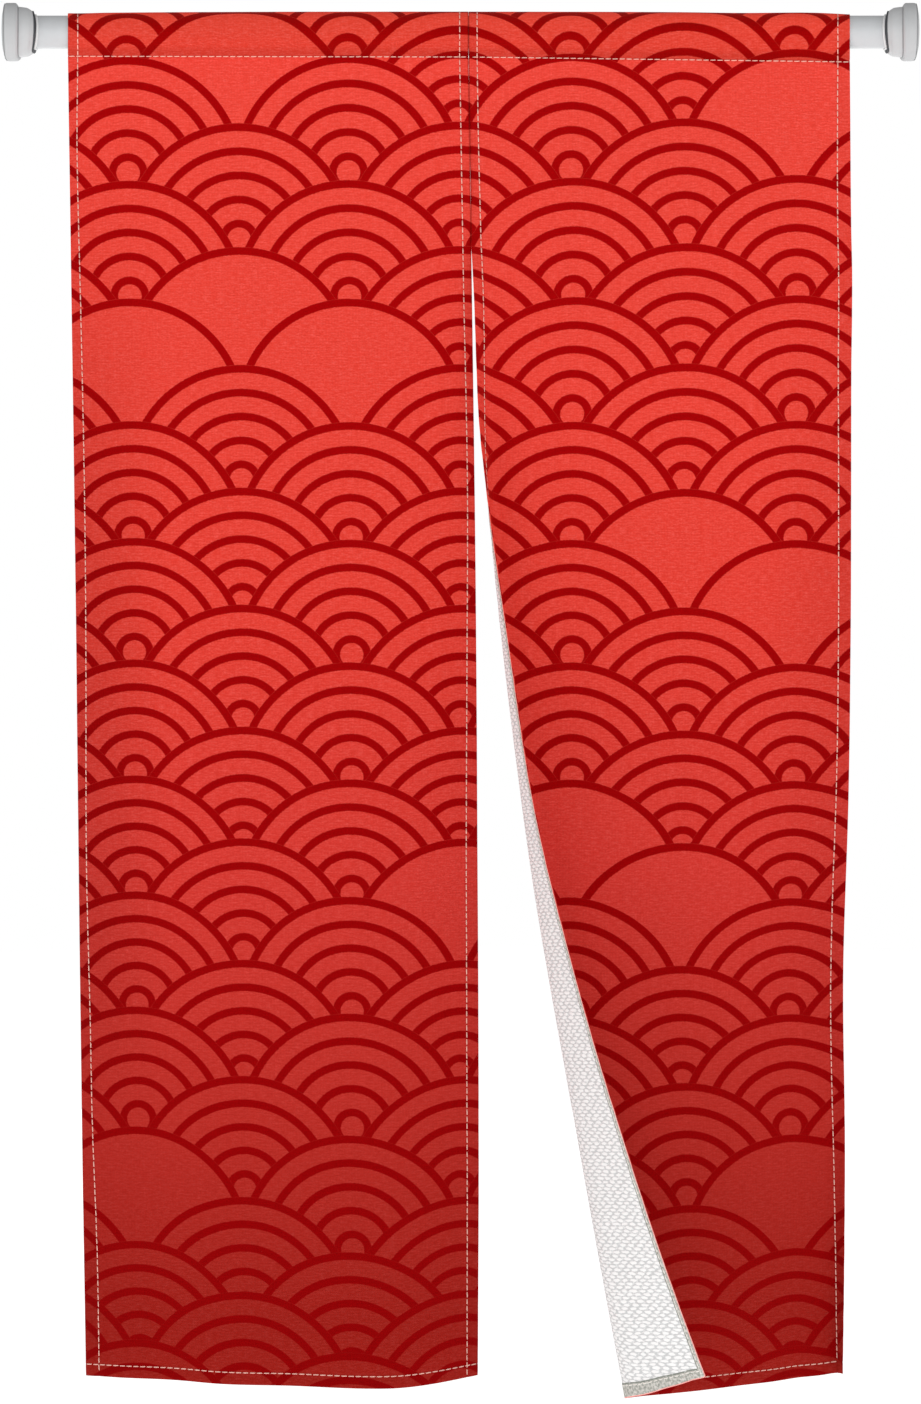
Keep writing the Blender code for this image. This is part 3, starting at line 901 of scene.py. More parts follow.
def printed_material(panel, cloth):
    """Printed face: a wave print on a ground that darkens towards the floor, over a slubby weave."""
    recipe = Recipe(f"{panel.name}_print", 0.92)
    recipe.shader.inputs["Specular IOR Level"].default_value = 0.02
    recipe.shader.inputs["Sheen Weight"].default_value = 0.35
    recipe.shader.inputs["Sheen Roughness"].default_value = 0.5
    recipe.shader.inputs["Sheen Tint"].default_value = (1.0, 0.12, 0.08, 1.0)
    print_across, print_down, groove = recipe.places("print_place")
    across, down, hem = recipe.places("cloth_place")

    ragged = recipe.grain(across, down, RAGGED_GRAIN)
    shift = recipe.multiply(recipe.subtract(ragged, 0.5), RAGGED_SHIFT)
    lines = wave_lines(
        recipe, cloth, recipe.add(print_across, -PRINT_MIDDLE, shift), recipe.add(print_down, shift),
        recipe.multiply(recipe.math("LESS_THAN", down, 0.0), SLEEVE_SWELL),
    )

    ground, ink = ground_and_ink(recipe, cloth, down)
    slub = recipe.grain(across, down, SLUB_GRAIN)
    fleck = recipe.grain(across, down, FLECK_GRAIN, layer=7.0, detail=1.0)
    grain = recipe.mix(FLECK_SHARE, slub, fleck)
    missed = recipe.mix(recipe.ease(down, *MISSED_LEVELS), MISSED_AT_TOP, MISSED_AT_BOTTOM)
    flecks = recipe.multiply(recipe.ease(grain, *MISSED_GRAIN), missed)
    ground = recipe.blend(flecks, ground, cloth.bare_yarn)
    colour = recipe.blend(lines, ground, ink)

    ribs = recipe.add(recipe.wave(across, GRID_PITCH), recipe.wave(down, GRID_PITCH))
    grid = recipe.multiply(ribs, slub)
    tone = recipe.add(
        1.0,
        recipe.multiply(recipe.subtract(grain, 0.5), GRAIN_TONE),
        recipe.multiply(grid, GRID_TONE),
        recipe.multiply(hem, -HEM_TONE),
    )
    tone = recipe.multiply(tone, *painted_shades(recipe, panel, across, down, groove))
    weave = recipe.multiply(recipe.wave(across, YARN_PITCH), recipe.wave(down, YARN_PITCH))
    height = recipe.add(
        recipe.multiply(grain, GRAIN_HEIGHT),
        recipe.multiply(grid, GRID_HEIGHT),
        recipe.multiply(weave, YARN_HEIGHT),
    )
    recipe.bump(height, WEAVE_DEPTH)
    return recipe.finish(recipe.brighten(colour, tone))


RAGGED_GRAIN = (420.0, 420.0)  # grains a metre, across and down, of the ink's uneven edge
RAGGED_SHIFT = 0.0011  # how far it wanders
SLUB_GRAIN = (130.0, 560.0)  # of the thick places in the yarn
FLECK_GRAIN = (420.0, 760.0)
FLECK_SHARE = 0.4  # of the flecks in the grain, beside the slubs
GRAIN_TONE = 0.50  # how strongly the grain lightens and darkens the print
GRID_TONE = 0.030
HEM_TONE = 0.07  # how much darker a hem is
WEAVE_DEPTH = 0.0003  # of the printed face's relief
GRAIN_HEIGHT = 0.8  # shares of that
GRID_HEIGHT = 0.2
YARN_HEIGHT = 0.25
SLEEVE_BLUR = 0.003  # how softly the sleeve's colours end at its stitching
SLEEVE_TOP = -0.066  # place down the cloth that lies on top of the rod
SLEEVE_TOP_REACH = (0.042, 0.010)  # from there, where its painted light sets in and where it is full
GRID_PITCH = 0.0033  # of the faint grid in the printed face
YARN_PITCH = 0.0012
MISSED_AT_TOP = 0.040  # how strongly the flecks show that the ink missed
MISSED_AT_BOTTOM = 0.012
MISSED_LEVELS = (0.6, 1.2)  # between which the one becomes the other
MISSED_GRAIN = (0.40, 0.72)  # between these values of the grain a fleck sets in


def painted_shades(recipe, panel, across, down, groove):
    """Factors of painted shade that darken the print: at the seam, in the stitch lines, over the stitching,
    at the side.
    """
    to_slit = recipe.math("ABSOLUTE", across)
    # painted shade in the crease of the sewn seam
    seam = recipe.multiply(
        recipe.ease(to_slit, *SEAM_WIDTHS),
        recipe.ease(down, SEAM_LENGTH + SHADE_BLUR, SEAM_LENGTH - SHADE_BLUR),
    )
    # painted shade in the dents of the stitch lines
    stitched = recipe.ease(groove, *STITCHED_GROOVE)
    # painted shade on the sleeve just above its stitching, where the cloth turns down
    above_stitching = recipe.multiply(
        recipe.ease(down, *ABOVE_STITCHING), recipe.ease(down, SHADE_BLUR, -SHADE_BLUR)
    )
    # painted shade beside the outer edge
    side = recipe.ease(recipe.subtract(panel.width, to_slit), SHADE_REACH, 0.0)
    fading = recipe.mix(recipe.ease(down, *SIDE_SHADE_FADES), 1.0, SIDE_SHADE_BELOW)
    side_levels = recipe.multiply(recipe.ease(down, *SIDE_SHADE_STARTS), fading)
    shades = (
        (seam, SEAM_SHADE),
        (stitched, STITCHED_SHADE),
        (above_stitching, SLEEVE_SHADE),
        (recipe.multiply(side, side_levels), panel.shade),
    )
    return [recipe.subtract(1.0, recipe.multiply(amount, strength)) for amount, strength in shades]


SEAM_SHADE = 0.32  # painted shade: how much darker the print is at the seam,
STITCHED_SHADE = 0.18  # painted shade in the dents of the stitch lines
SLEEVE_SHADE = 0.15  # and painted shade on the sleeve, just above its stitching
SEAM_WIDTHS = (0.0013, 0.0005)  # distances from the seam at which its shade sets in and is full
STITCHED_GROOVE = (0.25, 0.85)  # shares of a dent's depth, likewise
ABOVE_STITCHING = (-0.016, -0.004)  # places down the cloth, likewise
SHADE_BLUR = 0.002  # how softly these shades end down the cloth
SHADE_REACH = 0.120  # how far in the painted shade darkens the cloth beside its outer edge
SIDE_SHADE_STARTS = (0.05, 0.60)  # places down the cloth between which that sets in
SIDE_SHADE_FADES = (0.95, 1.20)  # and between which it fades
SIDE_SHADE_BELOW = 0.30  # to this share


def reverse_material(panel, cloth):
    """White reverse: short floats of yarn, half a step apart from row to row, with grey between them."""
    recipe = Recipe(f"{panel.name}_reverse", 0.95)
    recipe.shader.inputs["Specular IOR Level"].default_value = 0.1
    recipe.shader.inputs["Sheen Weight"].default_value = 0.02
    across, down, hem = recipe.places("cloth_place")
    warp = recipe.subtract(recipe.grain(across, down, SWAY_GRAIN), 0.5)
    slant = recipe.multiply(recipe.math("ABSOLUTE", across), FLOAT_SLANT)
    rows = recipe.add(recipe.divide(recipe.add(down, slant), FLOAT_ROW), recipe.multiply(warp, FLOAT_SWAY))
    row = recipe.math("FLOOR", rows)
    offset = recipe.multiply(recipe.math("FLOORED_MODULO", row, 2.0), 0.5)
    slip = recipe.multiply(recipe.subtract(recipe.noise(row, 0.4, detail=0.0), 0.5), FLOAT_SLIP)
    stretch = recipe.multiply(recipe.grain(across, row, STRETCH_GRAIN), FLOAT_STRETCH)
    floats = recipe.add(recipe.divide(across, FLOAT_PITCH), offset, slip, stretch)
    over = recipe.divide(recipe.subtract(recipe.math("FRACT", rows), 0.5), FLOAT_HALF_HEIGHT)
    sideways = recipe.divide(recipe.subtract(recipe.math("FRACT", floats), 0.5), FLOAT_HALF_LENGTH)
    round_it = recipe.add(recipe.multiply(over, over), recipe.multiply(sideways, sideways))
    gap = recipe.ease(round_it, *GAP_EDGE)
    patchy = recipe.grain(across, down, PATCH_GRAIN, layer=3.0)
    shadow = recipe.multiply(gap, recipe.ease(patchy, *PATCH_EDGE))
    colour = recipe.blend(shadow, cloth.reverse, cloth.reverse_shadow)
    mottled = recipe.grain(across, down, MOTTLE_GRAIN, layer=5.0)
    folded = recipe.blend(recipe.ease(mottled, *MOTTLE_EDGE), cloth.fold_shade_and_hem_mottle, cloth.reverse_hem)
    folded = recipe.blend(HEM_MOTTLING, cloth.reverse_hem, folded)
    colour = recipe.blend(recipe.ease(hem, 0.5, 0.9), colour, folded)
    # painted shade along the hems' folds
    at_fold = recipe.multiply(recipe.ease(hem, 0.0, 0.2), recipe.ease(hem, 1.0, 0.8))
    painted_fold_shade = recipe.multiply(at_fold, recipe.ease(patchy, 0.15, 0.50))
    colour = recipe.blend(painted_fold_shade, colour, cloth.fold_shade_and_hem_mottle)
    to_slit = recipe.math("ABSOLUTE", across)
    to_edge = recipe.math("MINIMUM", to_slit, recipe.subtract(HANG_LENGTH, down))
    colour = recipe.blend(recipe.ease(to_edge, INK_BLEED, 0.5 * INK_BLEED), colour, cloth.bled_ink)
    recipe.bump(recipe.subtract(1.0, gap), FLOAT_DEPTH, 0.6)
    return recipe.finish(colour)


FLOAT_PITCH = 0.0130  # from float to float in a row
FLOAT_ROW = 0.0037  # from row to row
FLOAT_SLANT = 0.205  # how far the rows rise for each metre across
FLOAT_HALF_HEIGHT = 0.47  # share of a row
FLOAT_HALF_LENGTH = 0.40  # share of the pitch
FLOAT_SWAY = 0.8  # how unevenly the rows run, in rows
FLOAT_SLIP = 0.5  # how unevenly the rows start, in floats
FLOAT_STRETCH = 0.7  # how unevenly the floats follow each other, in floats
FLOAT_DEPTH = 0.0005  # how far the floats stand out of the gaps between them
GAP_EDGE = (0.50, 1.20)  # where a gap starts and is full, as the squared distance over a float's half size
PATCH_EDGE = (0.18, 0.58)  # values of the patches' noise between which the grey sets in
MOTTLE_EDGE = (0.30, 0.70)  # and of the mottling's noise, between which it turns light
SWAY_GRAIN = (110.0, 130.0)  # grains a metre, across and down, of the rows' sway
STRETCH_GRAIN = (60.0, 0.9)  # grains a metre across, and for each row
PATCH_GRAIN = (240.0, 420.0)  # of the patches in which the grey is fainter
MOTTLE_GRAIN = (330.0, 330.0)  # of the hems' mottling
HEM_MOTTLING = 0.85  # how strong that is
INK_BLEED = 0.0013  # width of the edge of the reverse that the ink reached


def thread_material(name, colour, ply_shade):
    """Sewing thread, with the slant of its plies."""
    recipe = Recipe(name, 0.7)
    x, y, z = recipe.object_places()
    twist = recipe.wave(recipe.add(x, y, z), PLY_PITCH)
    between = recipe.multiply(recipe.ease(twist, 0.2, -1.0), ply_shade)
    recipe.bump(twist, PLY_DEPTH)
    return recipe.finish(recipe.brighten(recipe.plain(colour), recipe.subtract(1.0, between)))


PLY_PITCH = 0.0009  # from ply to ply of the thread
PLY_DEPTH = 0.0001


def rod_end_material(name, colour, roughness, grain, coat=0.0):
    """Moulded or painted surface, with faint clouds and a fine grain."""
    recipe = Recipe(name, roughness)
    recipe.shader.inputs["Coat Weight"].default_value = coat
    recipe.shader.inputs["Coat Roughness"].default_value = 0.25
    recipe.shader.inputs["Specular IOR Level"].default_value = 0.4
    x, y, z = recipe.object_places()
    cloud = recipe.noise(*(recipe.multiply(place, CLOUD_GRAIN) for place in (x, y, z)))
    fine = recipe.noise(*(recipe.multiply(place, FINE_GRAIN) for place in (x, y, z)), detail=1.0)
    tone = recipe.add(
        1.0,
        recipe.multiply(recipe.subtract(cloud, 0.5), CLOUD_TONE),
        recipe.multiply(recipe.subtract(fine, 0.5), FINE_TONE),
    )
    recipe.bump(fine, grain)
    return recipe.finish(recipe.brighten(recipe.plain(colour), tone))


CLOUD_GRAIN = 60.0  # clouds in each metre of a rod end
CLOUD_TONE = 0.08  # how strongly they lighten and darken it
FINE_GRAIN = 1800.0
FINE_TONE = 0.05


# ---------------------------------------------------------------- making and placing pieces
def make_piece(name, points, faces, materials):
    mesh = bpy.data.meshes.new(name)
    mesh.from_pydata(points, [], faces)
    for material in materials:
        mesh.materials.append(material)
    mesh.shade_smooth()
    piece = bpy.data.objects.new(name, mesh)
    bpy.context.scene.collection.objects.link(piece)
    return piece


def place_attribute(mesh, name, values):
    attribute = mesh.attributes.new(name, "FLOAT_VECTOR", "POINT")
    attribute.data.foreach_set("vector", np.asarray(values, dtype=np.float32).ravel())


EDGE_STEPS = 4  # facets over the rounded edge of the cloth
INKED_STEPS = 3  # of them, those that the ink reached


def make_panel(cloth_sheet, settings):
    """The closed sheet: printed face, reverse and rounded edge."""
    panel = cloth_sheet.panel
    rows, across = cloth_sheet.along.shape
    count = rows * across
    points = [cloth_sheet.front.reshape(-1, 3), cloth_sheet.back.reshape(-1, 3)]
    index = np.arange(count).reshape(rows, across)
    squares = [index[:-1, :-1], index[:-1, 1:], index[1:, 1:], index[1:, :-1]]
    corners = np.stack(squares, axis=-1).reshape(-1, 4)
    if panel.side < 0:
        corners = corners[:, ::-1]
    faces = corners.tolist()
    printed = [True] * len(faces)
    faces += (corners[:, ::-1] + count).tolist()
    printed += [False] * len(corners)

    loop = cloth_sheet.edge_loop()
    edge_points = []
    for r, c in loop:
        middle = (cloth_sheet.front[r, c] + cloth_sheet.back[r, c]) / 2
        half = np.linalg.norm(cloth_sheet.front[r, c] - cloth_sheet.back[r, c]) / 2
        out = cloth_sheet.outward(r, c)
        for k in range(1, EDGE_STEPS):
            turn = pi * k / EDGE_STEPS
            edge_points.append(middle + half * (cloth_sheet.normals[r, c] * cos(turn) + out * sin(turn)))
    points.append(np.array(edge_points))

    def edge_point(k, place):
        r, c = loop[place % len(loop)]
        if k == 0:
            return int(index[r, c])
        if k == EDGE_STEPS:
            return int(index[r, c]) + count
        return 2 * count + (place % len(loop)) * (EDGE_STEPS - 1) + k - 1

    for place in range(len(loop)):
        for k in range(EDGE_STEPS):
            face = (edge_point(k, place), edge_point(k + 1, place),
                    edge_point(k + 1, place + 1), edge_point(k, place + 1))
            faces.append(face if panel.side > 0 else face[::-1])
            printed.append(k < INKED_STEPS)

    materials = (printed_material(panel, settings), reverse_material(panel, settings))
    piece = make_piece(f"{panel.name}_cloth", np.concatenate(points).tolist(), faces, materials)
    piece.data.polygons.foreach_set("material_index", [0 if front else 1 for front in printed])

    u = panel.side * (panel.width - cloth_sheet.along)
    v = cloth_sheet.print_below
    places = []
    for lay in (panel.print_across, panel.print_down):
        bent = lay.both * u * v + lay.down_squared * v * v
        places.append(lay.start + lay.across * u + lay.down * v + bent)
    by_seam = beside(u, 0.0, SEAM_LIFT_REACH) * (1 - smooth_step((v - SEAM_LIFT_END) / SEAM_LIFT_FADE))
    places[1] = places[1] + panel.seam_lift * by_seam
    print_place = np.stack([*places, cloth_sheet.grooves], axis=-1).reshape(-1, 3)
    cloth_place = np.stack([u, cloth_sheet.below, cloth_sheet.hem], axis=-1).reshape(-1, 3)
    on_edge = np.repeat([index[r, c] for r, c in loop], EDGE_STEPS - 1)
    for name, values in (("print_place", print_place), ("cloth_place", cloth_place)):
        place_attribute(piece.data, name, np.concatenate([values, values, values[on_edge]]))
    piece.data.update()
    return piece


STITCH_ROUND = 6  # sides of a stitch
STITCH_PLACES = (0.0, 0.06, 0.5, 0.94, 1.0)  # places along it
STITCH_SWELL = (0.0, 0.85, 1.0, 0.85, 0.0)  # its thickness there
STITCH_LIFT = 0.4  # how far its middle line stands off the cloth, as a share of its height
STITCH_SKEW = 0.00016  # how far a stitch's ends stand off its line, to either side


def stitch_run(points, normals, stitching, start):
    """Stitches laid along a line on the cloth, as vertices and faces."""
    lengths = np.concatenate([[0.0], np.cumsum(np.linalg.norm(np.diff(points, axis=0), axis=1))])
    vertices, faces = [], []
    for number in range(int((lengths[-1] - start) / stitching.pitch)):
        first = start + number * stitching.pitch + stitching.hole / 2
        last = first + stitching.pitch - stitching.hole
        places = first + (last - first) * np.array(STITCH_PLACES)
        centres = np.column_stack([np.interp(places, lengths, points[:, k]) for k in range(3)])
        outs = np.column_stack([np.interp(places, lengths, normals[:, k]) for k in range(3)])
        outs /= np.linalg.norm(outs, axis=1, keepdims=True)
        way = centres[-1] - centres[0]
        way /= np.linalg.norm(way)
        asides = np.cross(outs, way)
        base = len(vertices)
        lean = np.linspace(-STITCH_SKEW, STITCH_SKEW, len(places))
        for k, swell in enumerate(STITCH_SWELL):
            middle = centres[k] + asides[k] * lean[k]
            if swell == 0.0:
                vertices.append(middle)
                continue
            for corner in range(STITCH_ROUND):
                turn = 2 * pi * corner / STITCH_ROUND
                wide = asides[k] * cos(turn) * stitching.thread_width / 2 * swell
                high = outs[k] * sin(turn) * stitching.thread_height * swell
                lift = outs[k] * stitching.thread_height * STITCH_LIFT * swell
                vertices.append(middle + wide + high + lift)
        tip = base + 1 + (len(STITCH_SWELL) - 2) * STITCH_ROUND
        for corner in range(STITCH_ROUND):
            after = (corner + 1) % STITCH_ROUND
            faces.append((base, base + 1 + after, base + 1 + corner))
            for k in range(len(STITCH_SWELL) - 3):
                ring = base + 1 + k * STITCH_ROUND
                beyond = ring + STITCH_ROUND
                faces.append((ring + corner, ring + after, beyond + after, beyond + corner))
            faces.append((tip, tip - STITCH_ROUND + corner, tip - STITCH_ROUND + after))
    return vertices, faces


def make_stitches(sheet, stitching, materials):
    """All stitches of one panel: both side hems, the sleeve and the bottom hem, on both faces."""
    panel = sheet.panel
    hanging = sheet.first_hanging
    runs = []
    outer, slit = sheet.stitch_columns
    end_row = sheet.bottom_row + 1 if panel.side > 0 else len(sheet.front)
    inward = -sheet.normals
    for column in (outer, slit):
        last = end_row if column == outer else len(sheet.front)
        rows = slice(hanging, last)
        runs.append((sheet.front[:last, column], sheet.normals[:last, column], 0.0, 0))
        runs.append((sheet.back[rows, column], inward[rows, column], stitching.pitch / 2, 1))
    first = outer if panel.side > 0 else 0
    for row in (hanging, TUCK_STITCH_ROW):
        runs.append((sheet.front[row], sheet.normals[row], 0.0, 0))
    for reverse, (face, out) in enumerate(((sheet.front, sheet.normals), (sheet.back, inward))):
        runs.append((face[sheet.bottom_row, first:], out[sheet.bottom_row, first:], 0.0, reverse))
    vertices, faces, on_reverse = [], [], []
    for points, normals, start, reverse in runs:
        new_vertices, new_faces = stitch_run(points, normals, stitching, start)
        base = len(vertices)
        vertices += new_vertices
        faces += [tuple(base + corner for corner in face) for face in new_faces]
        on_reverse += [reverse] * len(new_faces)
    piece = make_piece(f"{panel.name}_stitches", [tuple(v) for v in vertices], faces, materials)
    piece.data.polygons.foreach_set("material_index", on_reverse)
    return piece


# ---------------------------------------------------------------- turned pieces of the rod
Corner = namedtuple("Corner", "radius inward rounding")
ROUNDING_STEPS = 5


def rounded_profile(corners, closed):
    """Points of a profile, each corner replaced by an arc that starts its rounding away from it."""
    points = []
    count = len(corners)
    for k, corner in enumerate(corners):
        here = Vector((corner.radius, corner.inward))
        at_end = not closed and k in (0, count - 1)
        if corner.rounding == 0.0 or at_end:
            points.append(tuple(here))
            continue
        before = Vector(corners[k - 1][:2])
        after = Vector(corners[(k + 1) % count][:2])
        start = here + (before - here).normalized() * corner.rounding
        end = here + (after - here).normalized() * corner.rounding
        for step in range(ROUNDING_STEPS + 1):
            t = step / ROUNDING_STEPS
            points.append(tuple(start * (1 - t) ** 2 + here * 2 * t * (1 - t) + end * t * t))
    return points


def make_turned(name, profile, start, side, material, steps, closed=True, bow=None):
    """A profile turned about the rod's axis at one end of the rod; bow gives how far a place along the
    rod is carried towards its middle in front."""
    shape = bmesh.new()
    vertices = [shape.verts.new((start + along, 0.0, radius)) for radius, along in profile]
    edges = [shape.edges.new(pair) for pair in zip(vertices, vertices[1:])]
    if closed:
        edges.append(shape.edges.new((vertices[-1], vertices[0])))
    bmesh.ops.spin(
        shape, geom=vertices + edges, axis=(1.0, 0.0, 0.0), cent=(0.0, 0.0, 0.0), angle=2 * pi,
        steps=steps, use_merge=True, use_duplicate=False,
    )
    bmesh.ops.remove_doubles(shape, verts=shape.verts, dist=0.00001)
    for vertex in shape.verts:
        if bow:
            from_axis = sqrt(vertex.co.y ** 2 + vertex.co.z ** 2)
            facing = max(-vertex.co.y, 0.0) / from_axis if from_axis > GAP else 0.0
            softened = (sqrt(facing ** 2 + BOW_SOFTNESS ** 2) - BOW_SOFTNESS) / BOW_FULL
            vertex.co.x += bow(vertex.co.x) * softened * min(from_axis / ROD_RADIUS, 1.0)
        if side > 0:
            vertex.co.x = ROD_SPAN - vertex.co.x
    bmesh.ops.recalc_face_normals(shape, faces=shape.faces)
    mesh = bpy.data.meshes.new(name)
    shape.to_mesh(mesh)
    shape.free()
    mesh.materials.append(material)
    mesh.shade_smooth()
    mesh.set_sharp_from_angle(angle=radians(50))
    piece = bpy.data.objects.new(name, mesh)
    bpy.context.scene.collection.objects.link(piece)
    return piece


BOW_SOFTNESS = 0.25  # how gently the bow sets in above and below
BOW_FULL = sqrt(1 + BOW_SOFTNESS ** 2) - BOW_SOFTNESS
BOW_POWER = 0.4  # below 1, the bow grows fast from the foot's outer face
BOW_START = 0.2  # share of the bow at the foot's outer face
RING_TRIM = 0.0016  # by which the ring is shorter than its plain block
FACE_RADIUS = 0.0150  # of the flat face that presses on the wall


def foot_corners():
    rim = FOOT_RADIUS - 0.0008
    dome = 0.0044
    return (
        Corner(0.0, FOOT_LENGTH, 0.0),
        Corner(CAP_RADIUS - 0.0005, FOOT_LENGTH, 0.0006),
        Corner(rim - 0.0014, FOOT_LENGTH - 0.0004, 0.0008),
        Corner(rim, FOOT_LENGTH - 0.0022, 0.0010),
        Corner(rim, dome, 0.0016),
        Corner(rim - 0.0022, dome * 0.62, 0.0016),
        Corner(rim * 0.80, dome * 0.30, 0.0060),
        Corner(FACE_RADIUS, 0.0, 0.0060),
        Corner(0.0, 0.0, 0.0),
    )


def cap_corners():
    bore = ROD_RADIUS + GAP
    return (
        Corner(bore, CAP_LENGTH, 0.0004),
        Corner(RING_RADIUS - 0.0002, CAP_LENGTH, 0.0008),
        Corner(CAP_RADIUS - 0.0030, CAP_LENGTH - 0.0020, 0.0020),
        Corner(CAP_RADIUS - 0.0011, CAP_LENGTH - 0.0050, 0.0022),
        Corner(CAP_RADIUS, 0.0, 0.0004),
        Corner(bore, 0.0, 0.0004),
    )


def band_corners(radius, length, rounding):
    bore = ROD_RADIUS + GAP
    return (
        Corner(bore, length, 0.0),
        Corner(radius, length, rounding),
        Corner(radius, 0.0, rounding),
        Corner(bore, 0.0, 0.0),
    )


# ---------------------------------------------------------------- operators
class NOREN_OT_panels(bpy.types.Operator):
    """Lays out the two printed panels"""

    bl_idname = "noren.panels"
    bl_label = "Make Panels"

    def execute(self, context):
        settings = context.scene.noren_cloth
        for panel in PANELS:
            piece = make_panel(Cloth(panel, settings), settings)
            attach(piece, "root")
            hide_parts(panel.name)
        return {"FINISHED"}


class NOREN_OT_stitching(bpy.types.Operator):
    """Sews the hems and the sleeves"""

    bl_idname = "noren.stitching"
    bl_label = "Sew Panels"

    def execute(self, context):
        settings = context.scene.noren_cloth
        stitching = context.scene.noren_stitching
        materials = [
            thread_material("sewing_thread", stitching.thread, stitching.ply_shade),
            thread_material("bobbin_thread", stitching.bobbin, stitching.ply_shade),
        ]
        for panel in PANELS:
            sheet = Cloth(panel, settings)
            stitches = make_stitches(sheet, stitching, materials)
            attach(stitches, "root")
        return {"FINISHED"}


class NOREN_OT_rod(bpy.types.Operator):
    """Makes the painted tube"""

    bl_idname = "noren.rod"
    bl_label = "Make Rod"

    def execute(self, context):
        settings = context.scene.noren_rod
        profile = rounded_profile((
            Corner(0.0, 0.0, 0.0),
            Corner(ROD_RADIUS, 0.0, 0.0006),
            Corner(ROD_RADIUS, ROD_LENGTH, 0.0006),
            Corner(0.0, ROD_LENGTH, 0.0),
        ), closed=False)
        material = rod_end_material("rod_paint", settings.tube, 0.34, 0.00003, 0.2)
        tube = make_turned("rod_tube", profile, ROD_START, -1, material, settings.steps, closed=False)
        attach(tube, "root")
        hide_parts("rod")
        return {"FINISHED"}


class NOREN_OT_rod_ends(bpy.types.Operator):
    """Makes the foot, cap, ring and collar at each end of the rod"""

    bl_idname = "noren.rod_ends"
    bl_label = "Make Rod Ends"

    def execute(self, context):
        settings = context.scene.noren_rod
        cap_start = FOOT_LENGTH + GAP
        ring_start = cap_start + CAP_LENGTH + GAP
        ring_length = RING_LENGTH - RING_TRIM
        collar_start = ring_start + ring_length + GAP

        def bow(place):
            share = min(max(place, 0.0) / ring_start, 1.0) ** BOW_POWER
            return settings.bow * (BOW_START + (1 - BOW_START) * share)

        finishes = {
            "foot": (foot_corners(), 0.0, rod_end_material("foot_rubber", settings.foot, 0.55, 0.00006)),
            "cap": (cap_corners(), cap_start, rod_end_material("cap_plastic", settings.cap, 0.4, 0.00004)),
            "ring": (
                band_corners(RING_RADIUS, ring_length, 0.0008), ring_start,
                rod_end_material("ring_rubber", settings.ring, 0.5, 0.00004),
            ),
            "collar": (
                band_corners(COLLAR_RADIUS, COLLAR_LENGTH, 0.0005), collar_start,
                rod_end_material("collar_plastic", settings.collar, 0.4, 0.00003),
            ),
        }
        for word, side in (("left", -1), ("right", 1)):
            for kind, (corners, start, material) in finishes.items():
                closed = kind != "foot"
                profile = rounded_profile(corners, closed)
                name = f"{word}_{kind}_turned"
                piece = make_turned(name, profile, start, side, material, settings.steps, closed, bow)
                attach(piece, "root")
                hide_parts(f"{word}_{kind}")
        return {"FINISHED"}


WIDE_LAMP = (3.8, 2.8)  # width and height of the lamps in front and behind
WIDE_LAMP_PLACE = 4.4  # their distance from the rod's plane
SIDE_LAMP = (2.2, 2.4)
SIDE_LAMP_PLACE = (2.6, 1.7)  # to the side of the rod's middle, and in front of its plane


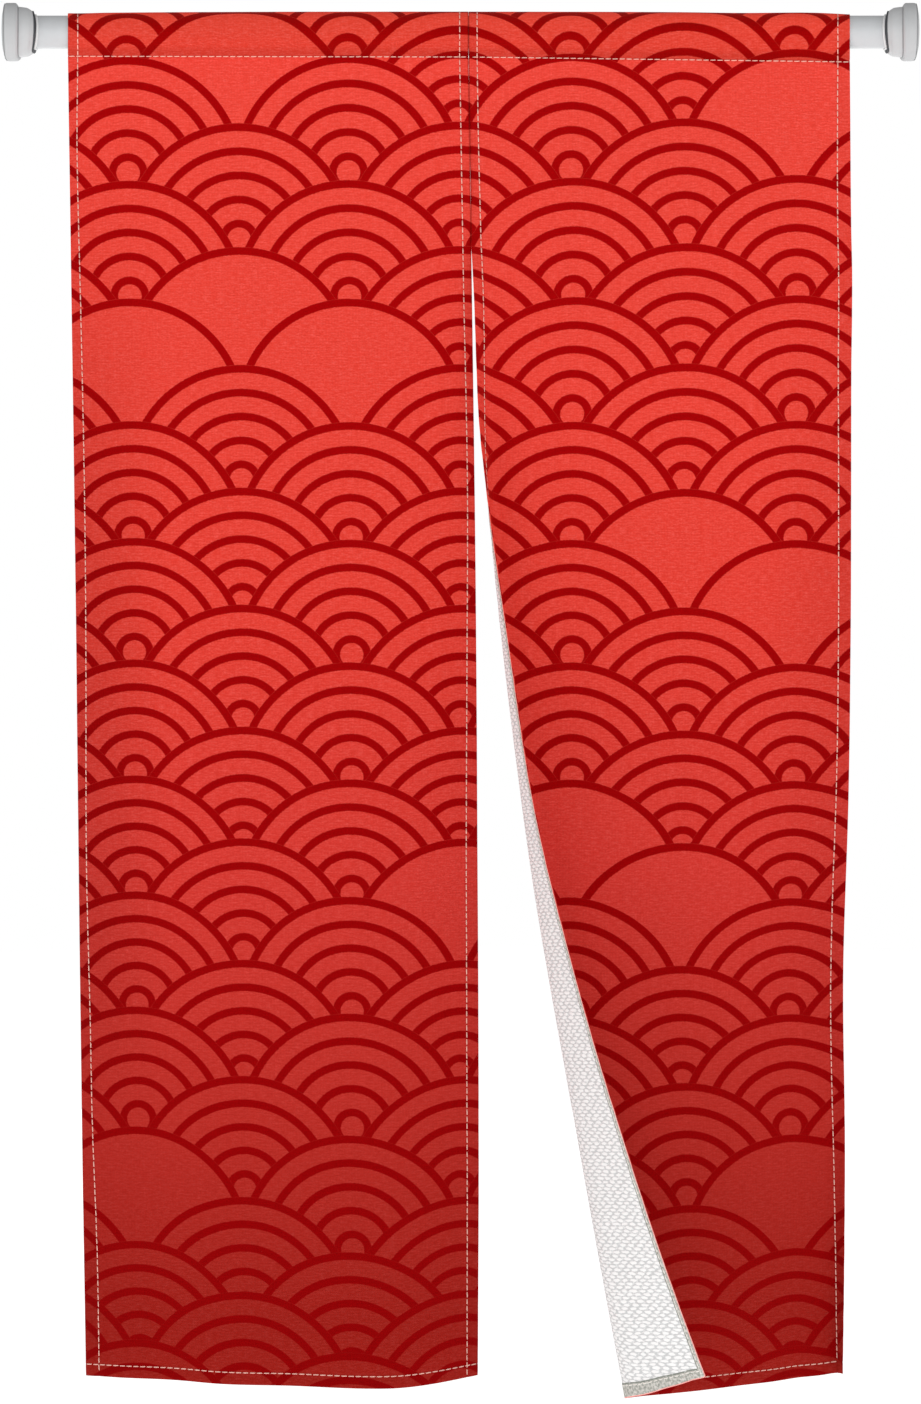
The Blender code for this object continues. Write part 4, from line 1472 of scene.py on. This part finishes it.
class NOREN_OT_studio(bpy.types.Operator):
    """Sets the floor, the lights and the camera"""

    bl_idname = "noren.studio"
    bl_label = "Set Studio"

    def execute(self, context):
        settings = context.scene.noren_studio
        scene = context.scene
        scene.view_settings.view_transform = "Standard"
        middle_z = -settings.camera_drop

        bpy.ops.mesh.primitive_circle_add(
            vertices=96, radius=settings.floor_radius, fill_type="NGON",
            location=(ROD_MIDDLE, 0.0, -settings.floor_drop),
        )
        floor = context.object
        floor.name = "studio_floor"
        recipe = Recipe("studio_floor", 0.9)
        recipe.shader.inputs["Specular IOR Level"].default_value = 0.0
        recipe.shader.inputs["Emission Color"].default_value = (1.0, 1.0, 1.0, 1.0)
        recipe.shader.inputs["Emission Strength"].default_value = settings.floor_glow
        x, y, _ = recipe.object_places()
        cloud = recipe.grain(x, y, (1.5, 1.5))
        pale = recipe.blend(cloud, (0.93, 0.93, 0.93), (0.96, 0.96, 0.96))
        floor.data.materials.append(recipe.finish(pale))

        world = bpy.data.worlds.new("studio_sky")
        scene.world = world
        world.use_nodes = True
        nodes, links = world.node_tree.nodes, world.node_tree.links
        sky = nodes["Background"]
        sky.inputs["Color"].default_value = (1.0, 1.0, 1.0, 1.0)
        sky.inputs["Strength"].default_value = settings.sky
        seen = nodes.new("ShaderNodeBackground")
        seen.inputs["Color"].default_value = (1.0, 1.0, 1.0, 1.0)
        path = nodes.new("ShaderNodeLightPath")
        mix = nodes.new("ShaderNodeMixShader")
        links.new(path.outputs["Is Camera Ray"], mix.inputs[0])
        links.new(sky.outputs[0], mix.inputs[1])
        links.new(seen.outputs[0], mix.inputs[2])
        links.new(mix.outputs[0], nodes["World Output"].inputs["Surface"])

        aside, before = SIDE_LAMP_PLACE
        lamps = (
            ("front_lamp", (ROD_MIDDLE, -WIDE_LAMP_PLACE, middle_z - 0.1), WIDE_LAMP, settings.front_light),
            ("left_lamp", (ROD_MIDDLE - aside, -before, middle_z), SIDE_LAMP, settings.side_light),
            ("right_lamp", (ROD_MIDDLE + aside, -before, middle_z), SIDE_LAMP, settings.side_light),
            ("back_lamp", (ROD_MIDDLE, WIDE_LAMP_PLACE, middle_z), WIDE_LAMP, settings.back_light),
        )
        aim = Vector((ROD_MIDDLE, 0.0, middle_z))
        for name, place, size, power in lamps:
            lamp = bpy.data.lights.new(name, "AREA")
            lamp.shape = "RECTANGLE"
            lamp.size, lamp.size_y = size
            lamp.energy = power
            holder = bpy.data.objects.new(name, lamp)
            holder.location = place
            holder.rotation_euler = (aim - holder.location).to_track_quat("-Z", "Y").to_euler()
            holder.visible_camera = False
            scene.collection.objects.link(holder)

        lens = bpy.data.cameras.new("studio_camera")
        lens.lens = settings.focal_length
        camera = bpy.data.objects.new("studio_camera", lens)
        camera.location = (ROD_MIDDLE, -settings.camera_distance, middle_z)
        camera.rotation_euler = (pi / 2, 0.0, 0.0)
        scene.collection.objects.link(camera)
        scene.camera = camera
        return {"FINISHED"}


class VIEW3D_PT_noren(bpy.types.Panel):
    """Settings and buttons for the noren"""

    bl_label = "Noren"
    bl_idname = "VIEW3D_PT_noren"
    bl_space_type = "VIEW_3D"
    bl_region_type = "UI"
    bl_category = "Noren"

    def draw(self, context):
        layout = self.layout
        for group, operators in PANEL_ROWS:
            box = layout.box()
            settings = getattr(context.scene, group)
            for key in settings.__annotations__:
                box.prop(settings, key)
            for operator in operators:
                box.operator(operator)


GROUPS = (
    ("noren_cloth", NorenClothSettings),
    ("noren_stitching", NorenStitchSettings),
    ("noren_rod", NorenRodSettings),
    ("noren_studio", NorenStudioSettings),
)
PANEL_ROWS = (
    ("noren_cloth", ("noren.panels",)),
    ("noren_stitching", ("noren.stitching",)),
    ("noren_rod", ("noren.rod", "noren.rod_ends")),
    ("noren_studio", ("noren.studio",)),
)
CLASSES = (
    NorenClothSettings, NorenStitchSettings, NorenRodSettings, NorenStudioSettings, NOREN_OT_panels,
    NOREN_OT_stitching, NOREN_OT_rod, NOREN_OT_rod_ends, NOREN_OT_studio, VIEW3D_PT_noren,
)


def register():
    for item in CLASSES:
        bpy.utils.register_class(item)
    for name, group in GROUPS:
        setattr(bpy.types.Scene, name, bpy.props.PointerProperty(type=group))


def unregister():
    for name, _ in GROUPS:
        delattr(bpy.types.Scene, name)
    for item in reversed(CLASSES):
        bpy.utils.unregister_class(item)


def main():
    register()
    bpy.ops.noren.rod()
    bpy.ops.noren.rod_ends()
    bpy.ops.noren.panels()
    bpy.ops.noren.stitching()
    bpy.ops.noren.studio()


if __name__ == "__main__":
    main()
